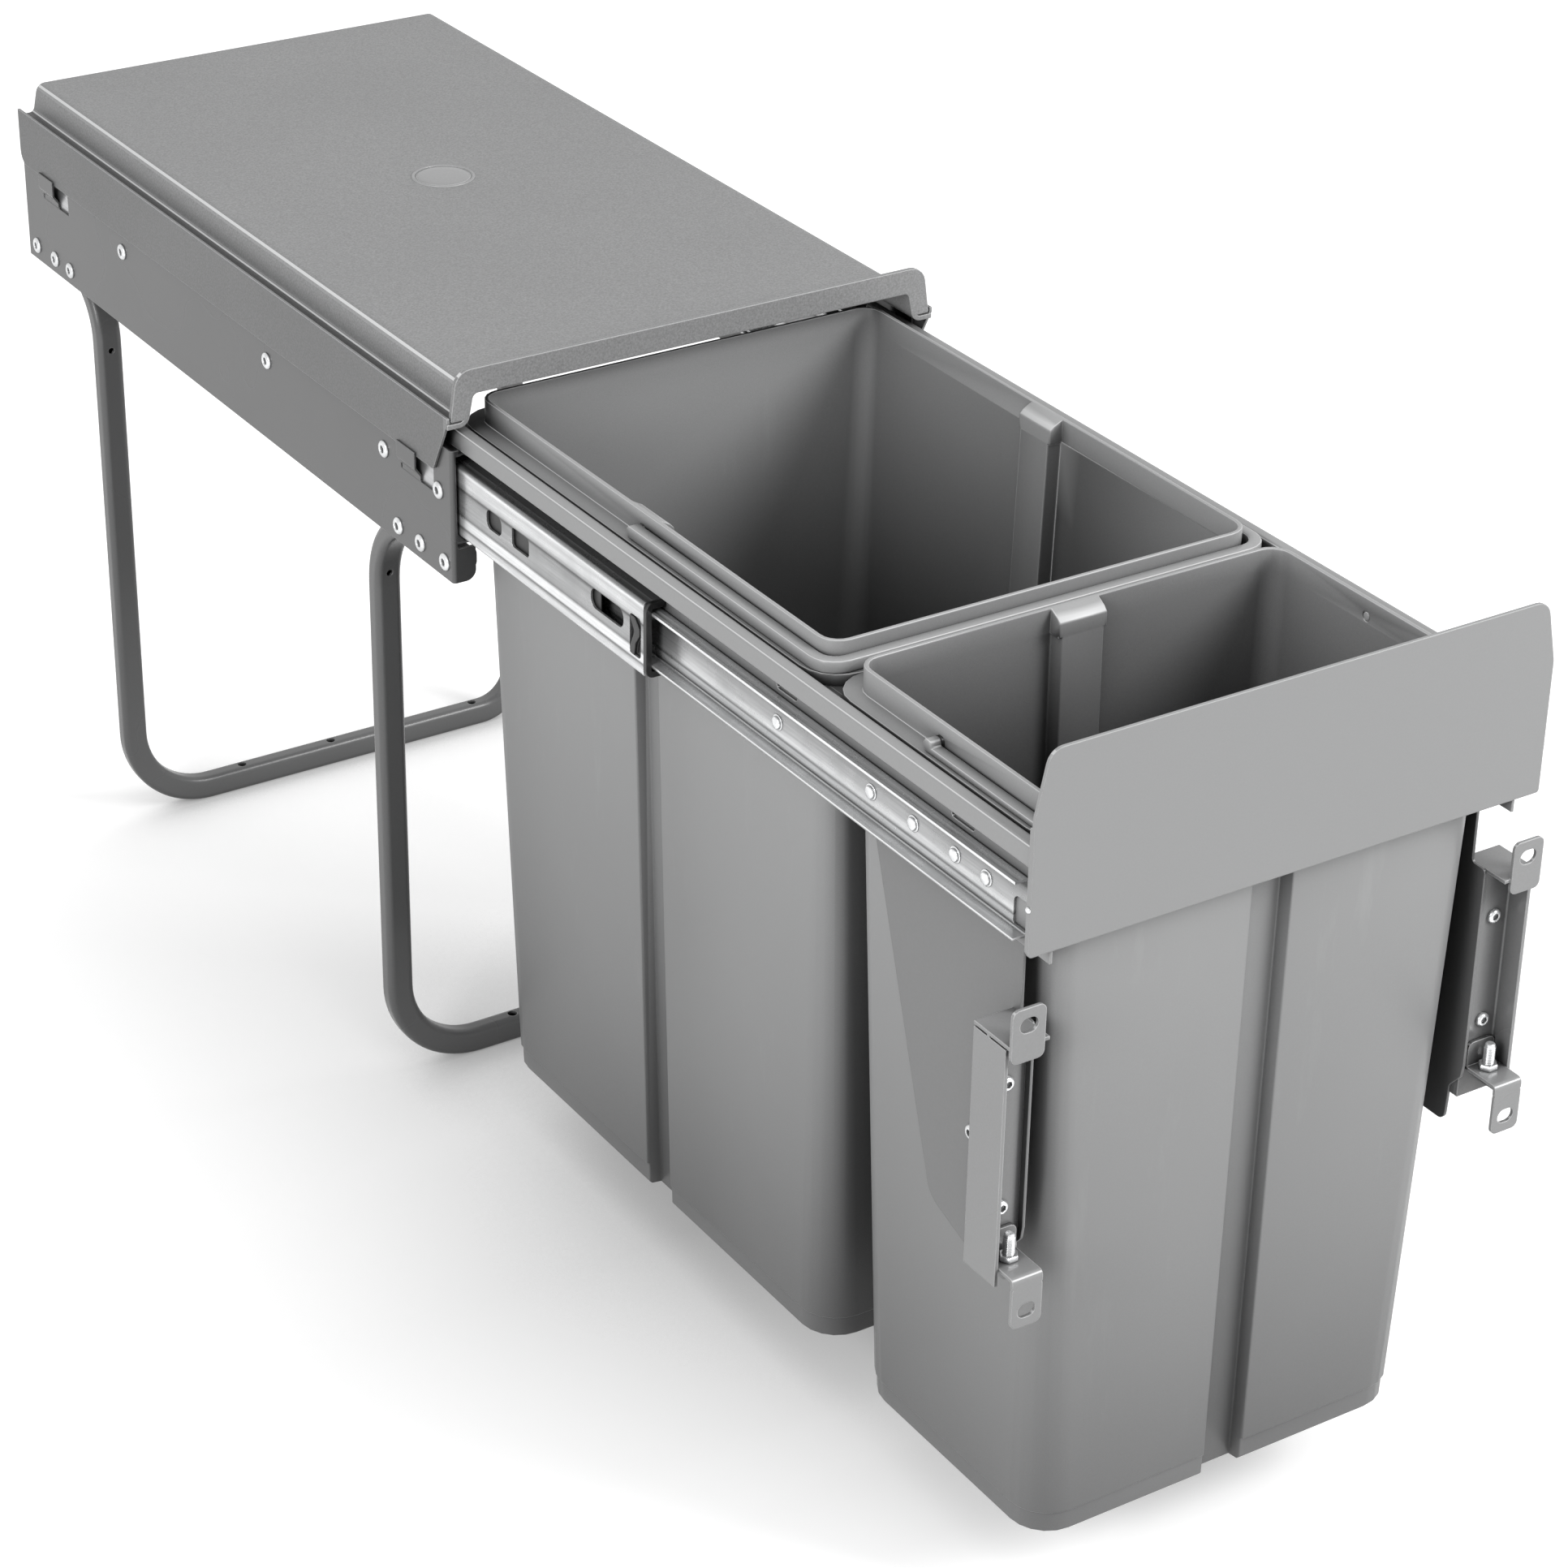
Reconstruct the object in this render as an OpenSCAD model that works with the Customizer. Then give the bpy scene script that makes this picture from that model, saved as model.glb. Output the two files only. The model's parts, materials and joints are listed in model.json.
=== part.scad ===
// Pull-out frame for two waste bins, screwed to the floor of a kitchen cabinet.
// Millimetres. X across the cabinet, Y to the rear, Z up, 0 on the cabinet floor.

/* [Side plates] */
// Width over the two side plates
frame_w = 252.8; // [244:0.4:300]
// Depth of the side plates, front to back
frame_d = 463; // [456:1:520]
// Height of the side plates' lower edge above the cabinet floor
plate_low = 304.5; // [280:0.5:360]
// Height of the side plates
plate_h = 74.6; // [70:0.2:90]
// Sheet thickness of the side plates
plate_t = 1.2; // [1:0.1:1.6]
// Width of the front flange that turns inward
flange_w = 11.4; // [9:0.2:12]
// Height of the slide's centre line above the plates' lower edge
slide_rise = 39; // [37:0.5:42]

/* [Lid] */
// Thickness of the lid sheet
lid_t = 2.2; // [1.5:0.1:3]
// Height of the lid panel's top above the side plates
lid_rise = 16.9; // [15:0.1:26]
// Width of the ledge between a side plate's face and the raised panel's foot
lid_ledge_w = 6.9; // [5:0.1:9]
// How far each side wall of the panel leans inward
panel_lean = 3; // [1:0.5:5]
// Bend radius along the panel's top edges
panel_edge_r = 4; // [2.6:0.1:6]
// Play between a side plate and the skirt
skirt_gap = 0.3; // [0.2:0.1:2]
// Thickness of the skirt
skirt_t = 1.3; // [1:0.1:3]
// How far the skirt hangs below the plates' top edge
skirt_drop = 23.6; // [15:0.2:28]
// How far the skirt's rib stands above the plates' top edge
skirt_rib = 5.3; // [3:0.1:8]
// Distance of the lid's rear end from the plates' rear edge
lid_short = 0.5; // [0:0.5:12]
// Height of the front lip above the lid panel
lip_rise = 9.5; // [8:0.5:14]
// Bend radius where the panel turns up into the lip
lip_bend_r = 7; // [3:0.5:7.5]
// How far the lip's feet stand inside the side plates' faces
lip_inset = 0.4; // [0:0.1:2]
// How far each end of the lip leans inward up to its top
lip_lean = 3.4; // [1:0.1:5]
// Corner radius at the lip's top
lip_r = 8; // [4:0.5:12]
// Height of the lip's feet above the side plates
lip_foot = 3.2; // [2.6:0.1:6]
// Width of each leg of the lip at its foot
lip_leg_w = 7.3; // [6:0.1:10]
// How much further in each leg reaches at the arch
lip_leg_lean = 3; // [1:0.1:4]
// Diameter of the round badge seat
badge_d = 31.4; // [20:0.2:40]
// Height of the badge seat
badge_h = 0.6; // [0.3:0.1:1]
// Length of the lanced strip of a keeper
keeper_strip_l = 17; // [12:0.5:20]
// Length of the opening ahead of the strip
keeper_open_l = 13; // [8:0.5:16]
// Height of a keeper's opening
keeper_h = 13; // [10:0.5:16]
// Distance of the front keeper's opening from the plates' front edge
keeper_front = 16.5; // [16.5:0.5:20]
// Distance of the rear keeper's opening from the plates' rear edge
keeper_rear = 54.5; // [50:0.5:60]
// Distance of the badge seat from the lid's front edge
badge_y = 238; // [200:1:260]

/* [Legs] */
// Width of the leg tube across the cabinet
tube_w = 13.4; // [11:0.2:13.6]
// Thickness of the leg tube, front to back
tube_d = 10; // [8:0.5:12]
// Wall of the leg tube
tube_wall = 1.5; // [1:0.1:2.5]
// Corner radius of the leg tube
tube_r = 3; // [2:0.2:3.6]
// Distance of the front leg from the plates' front edge
front_leg_y = 83; // [70:1:110]
// Distance of the rear leg from the plates' rear edge
rear_leg_in = 74.5; // [70:0.5:120]
// Outer radius of the foot bend on the left
left_bend_r = 50; // [30:1:58]
// Outer radius of the foot bend on the right
right_bend_r = 30; // [26:1:34]
// Outer radius of the front leg's elbow under the side plates
front_elbow_r = 48; // [20:1:60]
// Outer radius of the rear leg's elbow under the side plates
rear_elbow_r = 38; // [20:1:60]
// Height of the tube's upper edge above the plates' lower edge
tube_seat = 12.9; // [9:0.1:14]
// Diameter of the floor screw holes
floor_hole_d = 4.8; // [4:0.1:6]
// Distance of the left floor hole from the middle
floor_hole_left = 55; // [40:1:70]
// Distance of the right floor hole from the middle
floor_hole_right = 90; // [60:1:92]
// Diameter of the cross hole in each upright
cross_hole_d = 3.2; // [2:0.1:4.5]
// Height of the cross hole
cross_hole_z = 276; // [200:1:280]

/* [Rivets and screws] */
// Diameter of a rivet shank
rivet_d = 4.6; // [3:0.1:5]
// Diameter of a rivet head
rivet_head_d = 8.4; // [7:0.1:9]
// Height of a rivet head
rivet_head_h = 1.6; // [1:0.1:2]
// Diameter of a small screw shank
screw_d = 3.9; // [3:0.1:4.5]
// Diameter of a small screw head
screw_head_d = 6.6; // [6:0.1:8]
// Height of a small screw head
screw_head_h = 2; // [1.2:0.1:2.6]
// Play of a shank in its hole, on the radius
shank_play = 0.05; // [0.03:0.01:0.1]

/* [Slides] */
// Distance of the fixed rail's front end from the plates' front edge
outer_rail_y = 3; // [2:0.5:5]
// Distance of the fixed rail's rear end from the plates' rear edge
outer_rail_in = 10; // [8:0.5:20]
// How much shorter the middle rail is than the fixed rail
mid_short = 10; // [6:1:30]
// How much shorter the inner rail is than the fixed rail
inner_short = 14; // [12:1:40]
// Thickness of a whole slide
slide_t = 12.7; // [12.6:0.05:13.2]
// Sheet thickness of all slide rails
rail_t = 1.2; // [1:0.05:1.25]
// Height over the fixed rail
outer_rail_h = 43.6; // [43.4:0.1:44.2]
// Diameter of a bearing ball
ball_d = 4; // [3.9:0.02:4.1]
// Play of a ball in its groove, on the radius
ball_play = 0.05; // [0.03:0.01:0.08]
// How deep a ball sits in each groove
groove_depth = 0.3; // [0.2:0.02:0.36]
// Number of balls in a row
balls_per_row = 8; // [4:1:10]
// Distance between neighbouring balls
ball_pitch = 14; // [8:0.5:14]
// Length of an outer cage beyond its first and last ball
outer_cage_end = 10; // [5:0.5:14]
// Length of an inner cage beyond its first and last ball
inner_cage_end = 6; // [5:0.5:10]
// Sheet thickness of the ball cages
cage_t = 0.6; // [0.4:0.05:0.7]
// How much less than the plates' depth the drawer is drawn out
undrawn = 51; // [13:1:463]

/* [Drawer] */
// Gap between the plates' front edge and the closed front panel
front_gap = 18.5; // [14:0.5:30]
// Gap between the closed carrier rails' rear ends and the plates' rear edge
carrier_gap = 16; // [12:0.5:24]
// Sheet thickness of the carrier rails, bars and door arms
carrier_t = 1.2; // [1:0.1:1.4]
// Height of the bin seats above the slide's centre line
seat_rise = 25.7; // [25:0.1:28]
// Height of the carrier rails' top above the bin seats
shoulder_h = 7.2; // [6:0.1:8]
// Width of the carrier rails' top
shoulder_w = 5.2; // [4:0.1:6]
// Height of the carrier rails' outer lip
outer_lip_h = 8.7; // [6:0.1:9]
// Width of the seat step inside the shoulder
seat_w = 4.7; // [4:0.1:5]
// Distance of the carrier web's lower edge below the slide's centre line
web_drop = 17.5; // [16:0.5:20]
// Width of the bin support angles
support_w = 5; // [4:0.1:5.4]
// Height of the bin support angles
support_h = 14.2; // [8:0.2:20]
// Width of the middle bar, front to back
middle_bar_w = 13; // [12:0.5:14]
// Depth of the flange on the front bar
front_bar_w = 7; // [5:0.5:8]
// Height of the cross bars
bar_h = 29; // [20:1:40]

/* [Front panel] */
// Thickness of the front panel
front_t = 1.5; // [1:0.1:2.5]
// How far the front panel's sides stand inside the side plates' faces
front_inset = 3; // [1:0.2:6]
// Height of the front panel's lower edge below the slide's centre line
front_low = 11.1; // [8:0.5:14]
// Height of the front panel
front_h = 85.1; // [75:0.5:95]
// Height of the sloping shoulders at the panel's top corners
front_slope_h = 27; // [15:0.5:30]
// Width of the sloping shoulders
front_slope_w = 5.9; // [3:0.1:9]
// Depth of the panel's side returns
return_d = 1.2; // [1:0.1:3]
// Diameter of the small rivets in the panel's side returns
edge_rivet_d = 1.6; // [1:0.1:1.8]

/* [Door arms and brackets] */
// Length of an arm's upper edge
arm_l = 109; // [90:1:120]
// How far an arm's front edge stands back above its bracket
arm_setback = 8; // [6:0.5:12]
// Height of an arm's top above the cabinet floor
arm_top = 330; // [328:0.5:332]
// Height of an arm's lower edge above the cabinet floor
arm_low = 172; // [160:1:178]
// Width of an arm at its foot
arm_foot_l = 54; // [45:1:60]
// Width of a bracket channel across the cabinet
channel_w = 17.7; // [16:0.1:18]
// Depth of a bracket channel, front to back
channel_d = 12; // [10:0.5:14]
// How far a channel's outer wall reaches behind its back wall
channel_rear = 8.5; // [4:0.5:10]
// Height of a bracket channel's lower end above the cabinet floor
channel_low = 186; // [180:1:188]
// Height of a bracket channel's top shelf above the cabinet floor
channel_top = 295.3; // [284:0.1:298]
// Gap between the shelf and the channel's walls
shelf_gap = 1; // [0.5:0.1:2]
// Height of an upper door tab above its shelf
tab_h = 16; // [14:0.2:20]
// How far an upper door tab reaches below its shelf
tab_foot = 5.8; // [4:0.2:8]
// Height of a lower door tab below its shelf
low_tab_h = 23.4; // [20:0.2:28]
// Width of a door tab
tab_w = 15.2; // [14:0.2:18]
// Length of the oval hole in a door tab
tab_slot_l = 8.4; // [7.5:0.1:10]
// Height of the oval hole in a door tab
tab_slot_h = 6.5; // [5:0.1:7]
// How far the upper tabs stand ahead of the front panel's face
tab_ahead = 0.5; // [0:0.5:4]
// How far the lower tabs stand ahead of the front panel's face
low_tab_ahead = 6; // [5:0.5:8]
// Distance of a channel's back wall behind the front panel
channel_set = 14; // [12:0.5:18]
// Distance of an arm's front edge behind the front panel
arm_set = 9.5; // [8:0.5:11]
// Sheet thickness of the brackets
bracket_t = 1.5; // [1.2:0.1:2]
// Height of the left lower bracket's shelf above the cabinet floor
left_shelf_z = 194; // [190:0.5:198]
// Height of the right lower bracket's shelf above the cabinet floor
right_shelf_z = 201; // [190:0.5:204]
// Height of a lower bracket's upright behind its shelf
upright_h = 11; // [8:0.5:12]
// Height of a channel's lower screw above the lower bracket's shelf
low_screw_rise = 20; // [19:0.5:24]
// Height of a channel's upper screw above the cabinet floor
high_screw_z = 270; // [240:1:275]
// Play between a lower bracket and its channel
bracket_play = 0.3; // [0.25:0.05:0.5]
// Thread diameter of an adjusting screw
adjust_d = 5; // [4:0.1:6]
// Distance of an adjusting screw behind the lower tab's face
adjust_back = 13.1; // [9:0.1:14]
// Length of an adjusting screw above its shelf
adjust_l = 12; // [8:0.5:14]

/* [Bins] */
// Height of the bins' feet above the cabinet floor
bin_low = 40.5; // [30:0.5:50]
// Wall thickness of the bins
bin_wall = 2; // [1.4:0.1:2.4]
// Play between the bins' ledges and the carrier rails' shoulders
ledge_play = 2.4; // [0.5:0.1:5]
// Height of the rims above the ledge
rim_h = 10.9; // [9:0.1:11.5]
// Width of the ledge round a bin
ledge_w = 7.9; // [7.4:0.1:8.1]
// How far the ledge's edge turns down
ledge_lip = 5.3; // [4:0.1:6.5]
// Draft of the bins' side walls, in degrees
side_draft = 1.5; // [1:0.05:2.3]
// Draft of the bins' outer end walls, in degrees
end_draft = 0.35; // [0.2:0.05:1.5]
// Draft of the two end walls that face each other, in degrees
facing_draft = 0.95; // [0.5:0.05:1.5]
// Corner radius of the rims
rim_r = 10; // [6:0.5:14]
// Corner radius of the bins' feet
foot_r = 18; // [12:0.5:24]
// Height of the inset foot band
foot_h = 11; // [6:0.5:14]
// Inset of the foot band
foot_in = 1; // [0.5:0.1:1.5]
// Distance of the large bin's ledge from the carrier rails' rear ends
bin_rear_gap = 11.1; // [10:0.1:20]
// Depth of the small bin over its rim
small_d = 136; // [110:0.5:140]
// Gap between the two bins' ledges
ledge_gap = 0.7; // [0.5:0.1:3]
// Distance of the small bin's ledge from the front panel
bin_front_gap = 1.1; // [0.5:0.1:2]
// Play between the small bin and what carries it
bin_play = 0.3; // [0.25:0.05:0.5]
// Width of the moulded grooves
groove_w = 20.5; // [14:0.5:24]
// Depth of the moulded grooves
groove_in = 6.5; // [4:0.5:8]

/* [Handles] */
// Width of the handle strips
grip_w = 5.4; // [4:0.1:5.6]
// Thickness of the small bin's handle strip
small_grip_t = 2.4; // [2:0.1:4]
// Gap between a handle strip and the rim beside it
grip_gap = 1.1; // [0.8:0.1:1.6]
// Play between a handle and its bin
grip_play = 0.3; // [0.25:0.05:0.6]
// Diameter of the handle pins
grip_pin_d = 4; // [3:0.1:4.4]
// Play of a handle pin in its hole, on the radius
grip_pin_play = 0.08; // [0.05:0.01:0.15]
// Distance of the large handle's pivot behind the large bin's middle
large_pivot_y = 0; // [-10:1:10]
// Distance of the small handle's pivot behind the small bin's middle
small_pivot_y = 8; // [-10:1:12]

/* [Hidden] */
$fn = 48;
bend_steps = 5;
cut = 1;

plate_x = frame_w / 2;
plate_in = plate_x - plate_t;
plate_top = plate_low + plate_h;
slide_z = plate_low + slide_rise;

// The members of a slide, by their distance from the middle of the unit
slide_in = plate_in - slide_t;
outer_half = outer_rail_h / 2;
ball_r = ball_d / 2;
groove_r = ball_r + ball_play;
race_gap = ball_d - 2 * groove_depth;
mid_half = outer_half - rail_t - race_gap;
inner_half = mid_half - rail_t - race_gap;
outer_ball_off = outer_half - rail_t - race_gap / 2;
inner_ball_off = mid_half - rail_t - race_gap / 2;
cage_play = 0.5;
mid_web_x = plate_in - rail_t - cage_t - 2 * cage_play;
inner_tip_x = mid_web_x - rail_t - cage_t - 2 * cage_play;
outer_ball_set = 3.6;
inner_ball_set = 2.7;
cage_reach = 2.8;
race_reach = 3;
outer_ball_x = mid_web_x - outer_ball_set;
inner_ball_x = inner_tip_x - inner_ball_set;
drawn = frame_d - undrawn;
outer_rail_l = frame_d - outer_rail_y - outer_rail_in;
mid_rail_l = outer_rail_l - mid_short;
inner_rail_l = outer_rail_l - inner_short;
share_mid = 0.386;
share_outer_cage = 0.193;
share_inner_cage = 0.693;
mid_home = 2;
inner_home = -4.5;
outer_cage_in = 240;
inner_cage_in = 270;
outer_cage_home = mid_rail_l - outer_cage_in;
inner_cage_home = inner_rail_l - inner_cage_in;
mid_rail_y = mid_home - share_mid * drawn;
inner_rail_y = inner_home - drawn;
outer_cage_l = (balls_per_row - 1) * ball_pitch + 2 * outer_cage_end;
inner_cage_l = (balls_per_row - 1) * ball_pitch + 2 * inner_cage_end;
outer_cage_y = outer_cage_home - share_outer_cage * drawn;
inner_cage_y = inner_cage_home - share_inner_cage * drawn;

// The drawer's own places, at rest
panel_y = -front_gap - drawn;
carrier_l = frame_d + front_gap - carrier_gap;
web_out = slide_in;
web_in = web_out - carrier_t;
seat_z = slide_z + seat_rise;
seat_out = web_in + seat_w - carrier_t;
shoulder_out = seat_out + carrier_t + shoulder_w;
shoulder_z = seat_z + shoulder_h;
small_front = panel_y + bin_front_gap + ledge_w;
small_back = small_front + small_d;
large_front = small_back + 2 * ledge_w + ledge_gap;
large_back = panel_y + carrier_l - bin_rear_gap - ledge_w;
large_mid = (large_front + large_back) / 2;
small_mid = (small_front + small_back) / 2;
bar_mid = small_back + ledge_w + ledge_gap / 2;
rim_half = seat_out - ledge_play - ledge_w;
ledge_z = seat_z + ledge_lip;
large_ledge_z = ledge_z;
small_ledge_z = ledge_z + bin_play;
rim_top = ledge_z + rim_h;
tab_y = panel_y - front_t - tab_ahead;
low_tab_y = panel_y - front_t - low_tab_ahead;
channel_out = web_in + channel_w;
channel_back = panel_y + channel_set;
arm_front = panel_y + arm_set;

// Y of the fasteners, from the plates' front edge and, on the inner rail, from its front end
upper_rivets = [12, 63.5, 181.5, frame_d - 120];
front_rivets = [7.7, 30.5, 51.5];
rear_rivets = [frame_d - 51.8, frame_d - 33.1, frame_d - 10.4];
inner_rivets = [25.5, 46, 74, 103, 170];
upper_rivet_rise = 2.3;
upper_rivet_z = slide_z + upper_rivet_rise;

function unit(v) = v / norm(v);
function left_of(v) = [-v[1], v[0]];
function turned(v, a) = [v[0] * cos(a) - v[1] * sin(a), v[0] * sin(a) + v[1] * cos(a)];
function turn_from(a, b) = atan2(a[0] * b[1] - a[1] * b[0], a[0] * b[0] + a[1] * b[1]);

// A rounded corner as pairs of a point and the path's normal there
function bend_at(p, q, s, r) =
    let (
        d = unit(q - p),
        a = turn_from(d, unit(s - q)),
        side = sign(a),
        start = q - d * r * tan(abs(a) / 2),
        middle = start + left_of(d) * side * r
    )
    [for (i = [0:bend_steps]) let (n = turned(left_of(d), a * i / bend_steps)) [middle - n * side * r, n]];

// A sheet's middle line with every inner corner bent to radius r
function bent_line(p, r) =
    let (last = len(p) - 1)
    concat(
        [[p[0], left_of(unit(p[1] - p[0]))]],
        [for (i = [1:last - 1]) each bend_at(p[i - 1], p[i], p[i + 1], r)],
        [[p[last], left_of(unit(p[last] - p[last - 1]))]]
    );

// The section of a folded sheet, from its middle line
module folded(p, t, r) {
    line = bent_line(p, r);
    polygon(concat(
        [for (q = line) q[0] + q[1] * t / 2],
        [for (i = [len(line) - 1:-1:0]) line[i][0] - line[i][1] * t / 2]
    ));
}

// A closed outline, each corner given as [x, y, radius]
module outline(c) {
    n = len(c);
    polygon([for (i = [0:n - 1])
        let (
            p = [c[(i + n - 1) % n][0], c[(i + n - 1) % n][1]],
            q = [c[i][0], c[i][1]],
            s = [c[(i + 1) % n][0], c[(i + 1) % n][1]]
        )
        each (c[i][2] > 0 ? [for (b = bend_at(p, q, s, c[i][2])) b[0]] : [q])]);
}

// A rectangle with round corners, from one corner to the other
module round_rect(a, b, r) {
    outline([[a[0], a[1], r], [b[0], a[1], r], [b[0], b[1], r], [a[0], b[1], r]]);
}

module along_y(y0, y1) {
    translate([0, y1, 0]) rotate([90, 0, 0]) linear_extrude(y1 - y0) children();
}

module along_x(x0, x1) {
    translate([x0, 0, 0]) rotate([90, 0, 90]) linear_extrude(x1 - x0) children();
}

module on_side(side) {
    if (side > 0) children();
    else mirror([1, 0, 0]) children();
}

// The part's own origin lies under the middle of the drawn-out unit
module placed() {
    translate([0, -(frame_d + low_tab_y) / 2, 0]) children();
}

// A round bar along X, Y or Z
module rod_x(x0, x1, y, z, r) {
    translate([x0, y, z]) rotate([0, 90, 0]) cylinder(h = x1 - x0, r = r);
}

module rod_y(x, y0, y1, z, r) {
    translate([x, y1, z]) rotate([90, 0, 0]) cylinder(h = y1 - y0, r = r);
}

module rod_z(x, y, z0, z1, r) {
    translate([x, y, z0]) cylinder(h = z1 - z0, r = r);
}

// A domed head with a dimple, its foot on z = 0
module domed_head(d, h) {
    rotate_extrude() polygon([
        [0, 0], [d / 2, 0], [d / 2, h * 0.3], [d * 0.42, h * 0.72], [d * 0.28, h],
        [d * 0.16, h], [d * 0.1, h * 0.45], [0, h * 0.45]
    ]);
}

// A rivet along X: its head on x1, its shank in to x0
module rivet(x0, x1, y, z) {
    rod_x(x0, x1, y, z, rivet_d / 2);
    translate([x1, y, z]) rotate([0, 90, 0]) domed_head(rivet_head_d, rivet_head_h);
}

module rivet_hole(x0, x1, y, z) {
    rod_x(x0, x1, y, z, rivet_d / 2 + shank_play);
}

// Lid: a raised panel, a ledge on the plates, two skirts and the front lip
lid_top = plate_top + lid_rise;
foot_half = plate_x - lid_ledge_w;
skirt_in = plate_x + skirt_gap;
skirt_out = skirt_in + skirt_t;
lid_back = frame_d - lid_short;
lip_half = plate_x - lip_inset;

module lid_section() {
    top = lid_top - lid_t / 2;
    low = plate_top + lid_t / 2;
    edge = foot_half - panel_lean - lid_t / 2;
    wall = foot_half - lid_t / 2;
    folded([
        [-skirt_in - cut, low], [-wall, low], [-edge, top],
        [edge, top], [wall, low], [skirt_in + cut, low]
    ], lid_t, panel_edge_r);
}

module skirt_outline() {
    low = plate_top - skirt_drop;
    rib = plate_top + skirt_rib;
    slope_l = 14;
    outline([
        [slope_l, low, 1.5], [lid_back, low, 7], [lid_back, rib, 0], [0, rib, 0],
        [0, plate_top + lip_foot, 0]
    ]);
}

module lip_outline() {
    foot = plate_top + lip_foot;
    top = lid_top + lip_rise;
    arch = lid_top - lid_t;
    in = lip_half - lip_leg_w;
    arch_in = in - lip_leg_lean;
    outline([
        [-lip_half, foot, 0.8], [-in, foot, 0.8], [-arch_in, arch, 0.8], [arch_in, arch, 0.8],
        [in, foot, 0.8], [lip_half, foot, 0.8], [lip_half - lip_lean, top, lip_r],
        [-lip_half + lip_lean, top, lip_r]
    ]);
}

module lid() placed() color("#8d8d8d") {
    up = lid_top - lid_t / 2;
    span = foot_half - panel_lean - panel_edge_r;
    along_y(0, lid_back) lid_section();
    for (side = [-1, 1]) on_side(side) along_x(skirt_in, skirt_out) skirt_outline();
    along_y(0, lid_t) lip_outline();
    along_x(-span, span) folded([
        [lip_bend_r + 2 * lid_t, up], [lid_t / 2, up], [lid_t / 2, up + lip_bend_r + lid_t]
    ], lid_t, lip_bend_r);
}

module lid_badge() placed() color("#777777") {
    translate([0, badge_y, lid_top]) rotate_extrude() polygon([
        [0, 0], [badge_d / 2, 0], [badge_d / 2, badge_h * 0.5], [badge_d / 2 - badge_h, badge_h],
        [0, badge_h]
    ]);
}

// Side plates: a folded sheet with a flanged front edge and lanced skirt keepers
keepers = [keeper_front, frame_d - keeper_rear];
keeper_low = plate_top - skirt_drop - keeper_h + 0.5;
keeper_play = 0.2;
plate_notch_h = 10.6;
plate_notch_l = 12;
flange_lip_w = 3.8;
flange_web_w = 1.2;
flange_corner_r = 5;

module flange_opening() {
    gap = 0.6;
    in = plate_x - flange_w - 1;
    low = slide_z - outer_half - gap;
    high = slide_z + outer_half + gap;
    top = plate_top + cut;
    web = plate_in - flange_web_w;
    lip = plate_x - flange_lip_w;
    outline([
        [in, low, 0], [web, low, 1], [web, high, 1], [lip, high + 1.5, 1], [lip, top, 0], [in, top, 0]
    ]);
}

// The plate's upper front corner, cut back under the lid's skirt
module plate_notch() {
    z = plate_top - plate_notch_h;
    outline([
        [-cut, z, 0], [plate_notch_l, z, 3], [plate_notch_l, plate_top + cut, 0],
        [-cut, plate_top + cut, 0]
    ]);
}

// A strip lanced out of the plate, rising over the skirt's lower edge
module keeper_strip(y) {
    t = plate_t * 0.8;
    mid = plate_x - plate_t / 2;
    out = skirt_out + keeper_play + t / 2;
    start = y + keeper_open_l;
    along_y(start, start + keeper_strip_l) folded([
        [mid, keeper_low - 0.01], [mid, keeper_low + 2.5], [out, keeper_low + 6.5],
        [out, keeper_low + keeper_h + 1.5]
    ], t, 1.5);
}

module side_plate(side) placed() color("#868686") on_side(side) {
    mid = plate_x - plate_t / 2;
    flange_in = plate_x - flange_w;
    r = flange_corner_r;
    difference() {
        translate([0, 0, plate_low]) linear_extrude(plate_h) folded([
            [flange_in, plate_t / 2], [mid, plate_t / 2], [mid, frame_d]
        ], plate_t, plate_t);
        along_y(-cut, plate_t + cut) flange_opening();
        along_y(-cut, plate_t + cut) difference() {
            translate([flange_in - cut, plate_low - cut]) square([r + cut, r + cut]);
            translate([flange_in + r, plate_low + r]) circle(r = r);
        }
        along_x(flange_in - cut, plate_x + cut) plate_notch();
        for (y = upper_rivets) rivet_hole(plate_in - cut, plate_x + cut, y, upper_rivet_z);
        for (y = concat(front_rivets, rear_rivets))
            rivet_hole(plate_in - cut, plate_x + cut, y, tube_z);
        for (y = keepers) translate([plate_in - cut, y, keeper_low])
            cube([plate_t + 2 * cut, keeper_open_l + keeper_strip_l + 1, keeper_h]);
    }
    for (y = keepers) keeper_strip(y);
}

module left_side_plate() side_plate(-1);
module right_side_plate() side_plate(1);

// Legs: a rounded tube, bent across the floor and again under the plates
tube_z = plate_low + tube_seat - tube_d / 2;
tube_mid = plate_in - tube_w / 2;
front_tube_end = 5;

module tube_section(w, d) {
    difference() {
        round_rect([-w / 2, -d / 2], [w / 2, d / 2], tube_r);
        round_rect([-w / 2 + tube_wall, -d / 2 + tube_wall], [w / 2 - tube_wall, d / 2 - tube_wall],
            tube_r - tube_wall + 0.2);
    }
}

// A quarter bend in the XZ plane, its centre on the origin and its tube at -X
module foot_bend(r) {
    rotate([90, 0, 0]) rotate([0, 0, 180]) rotate_extrude(angle = 90)
        translate([r - tube_w / 2, 0]) tube_section(tube_w, tube_d);
}

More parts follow.
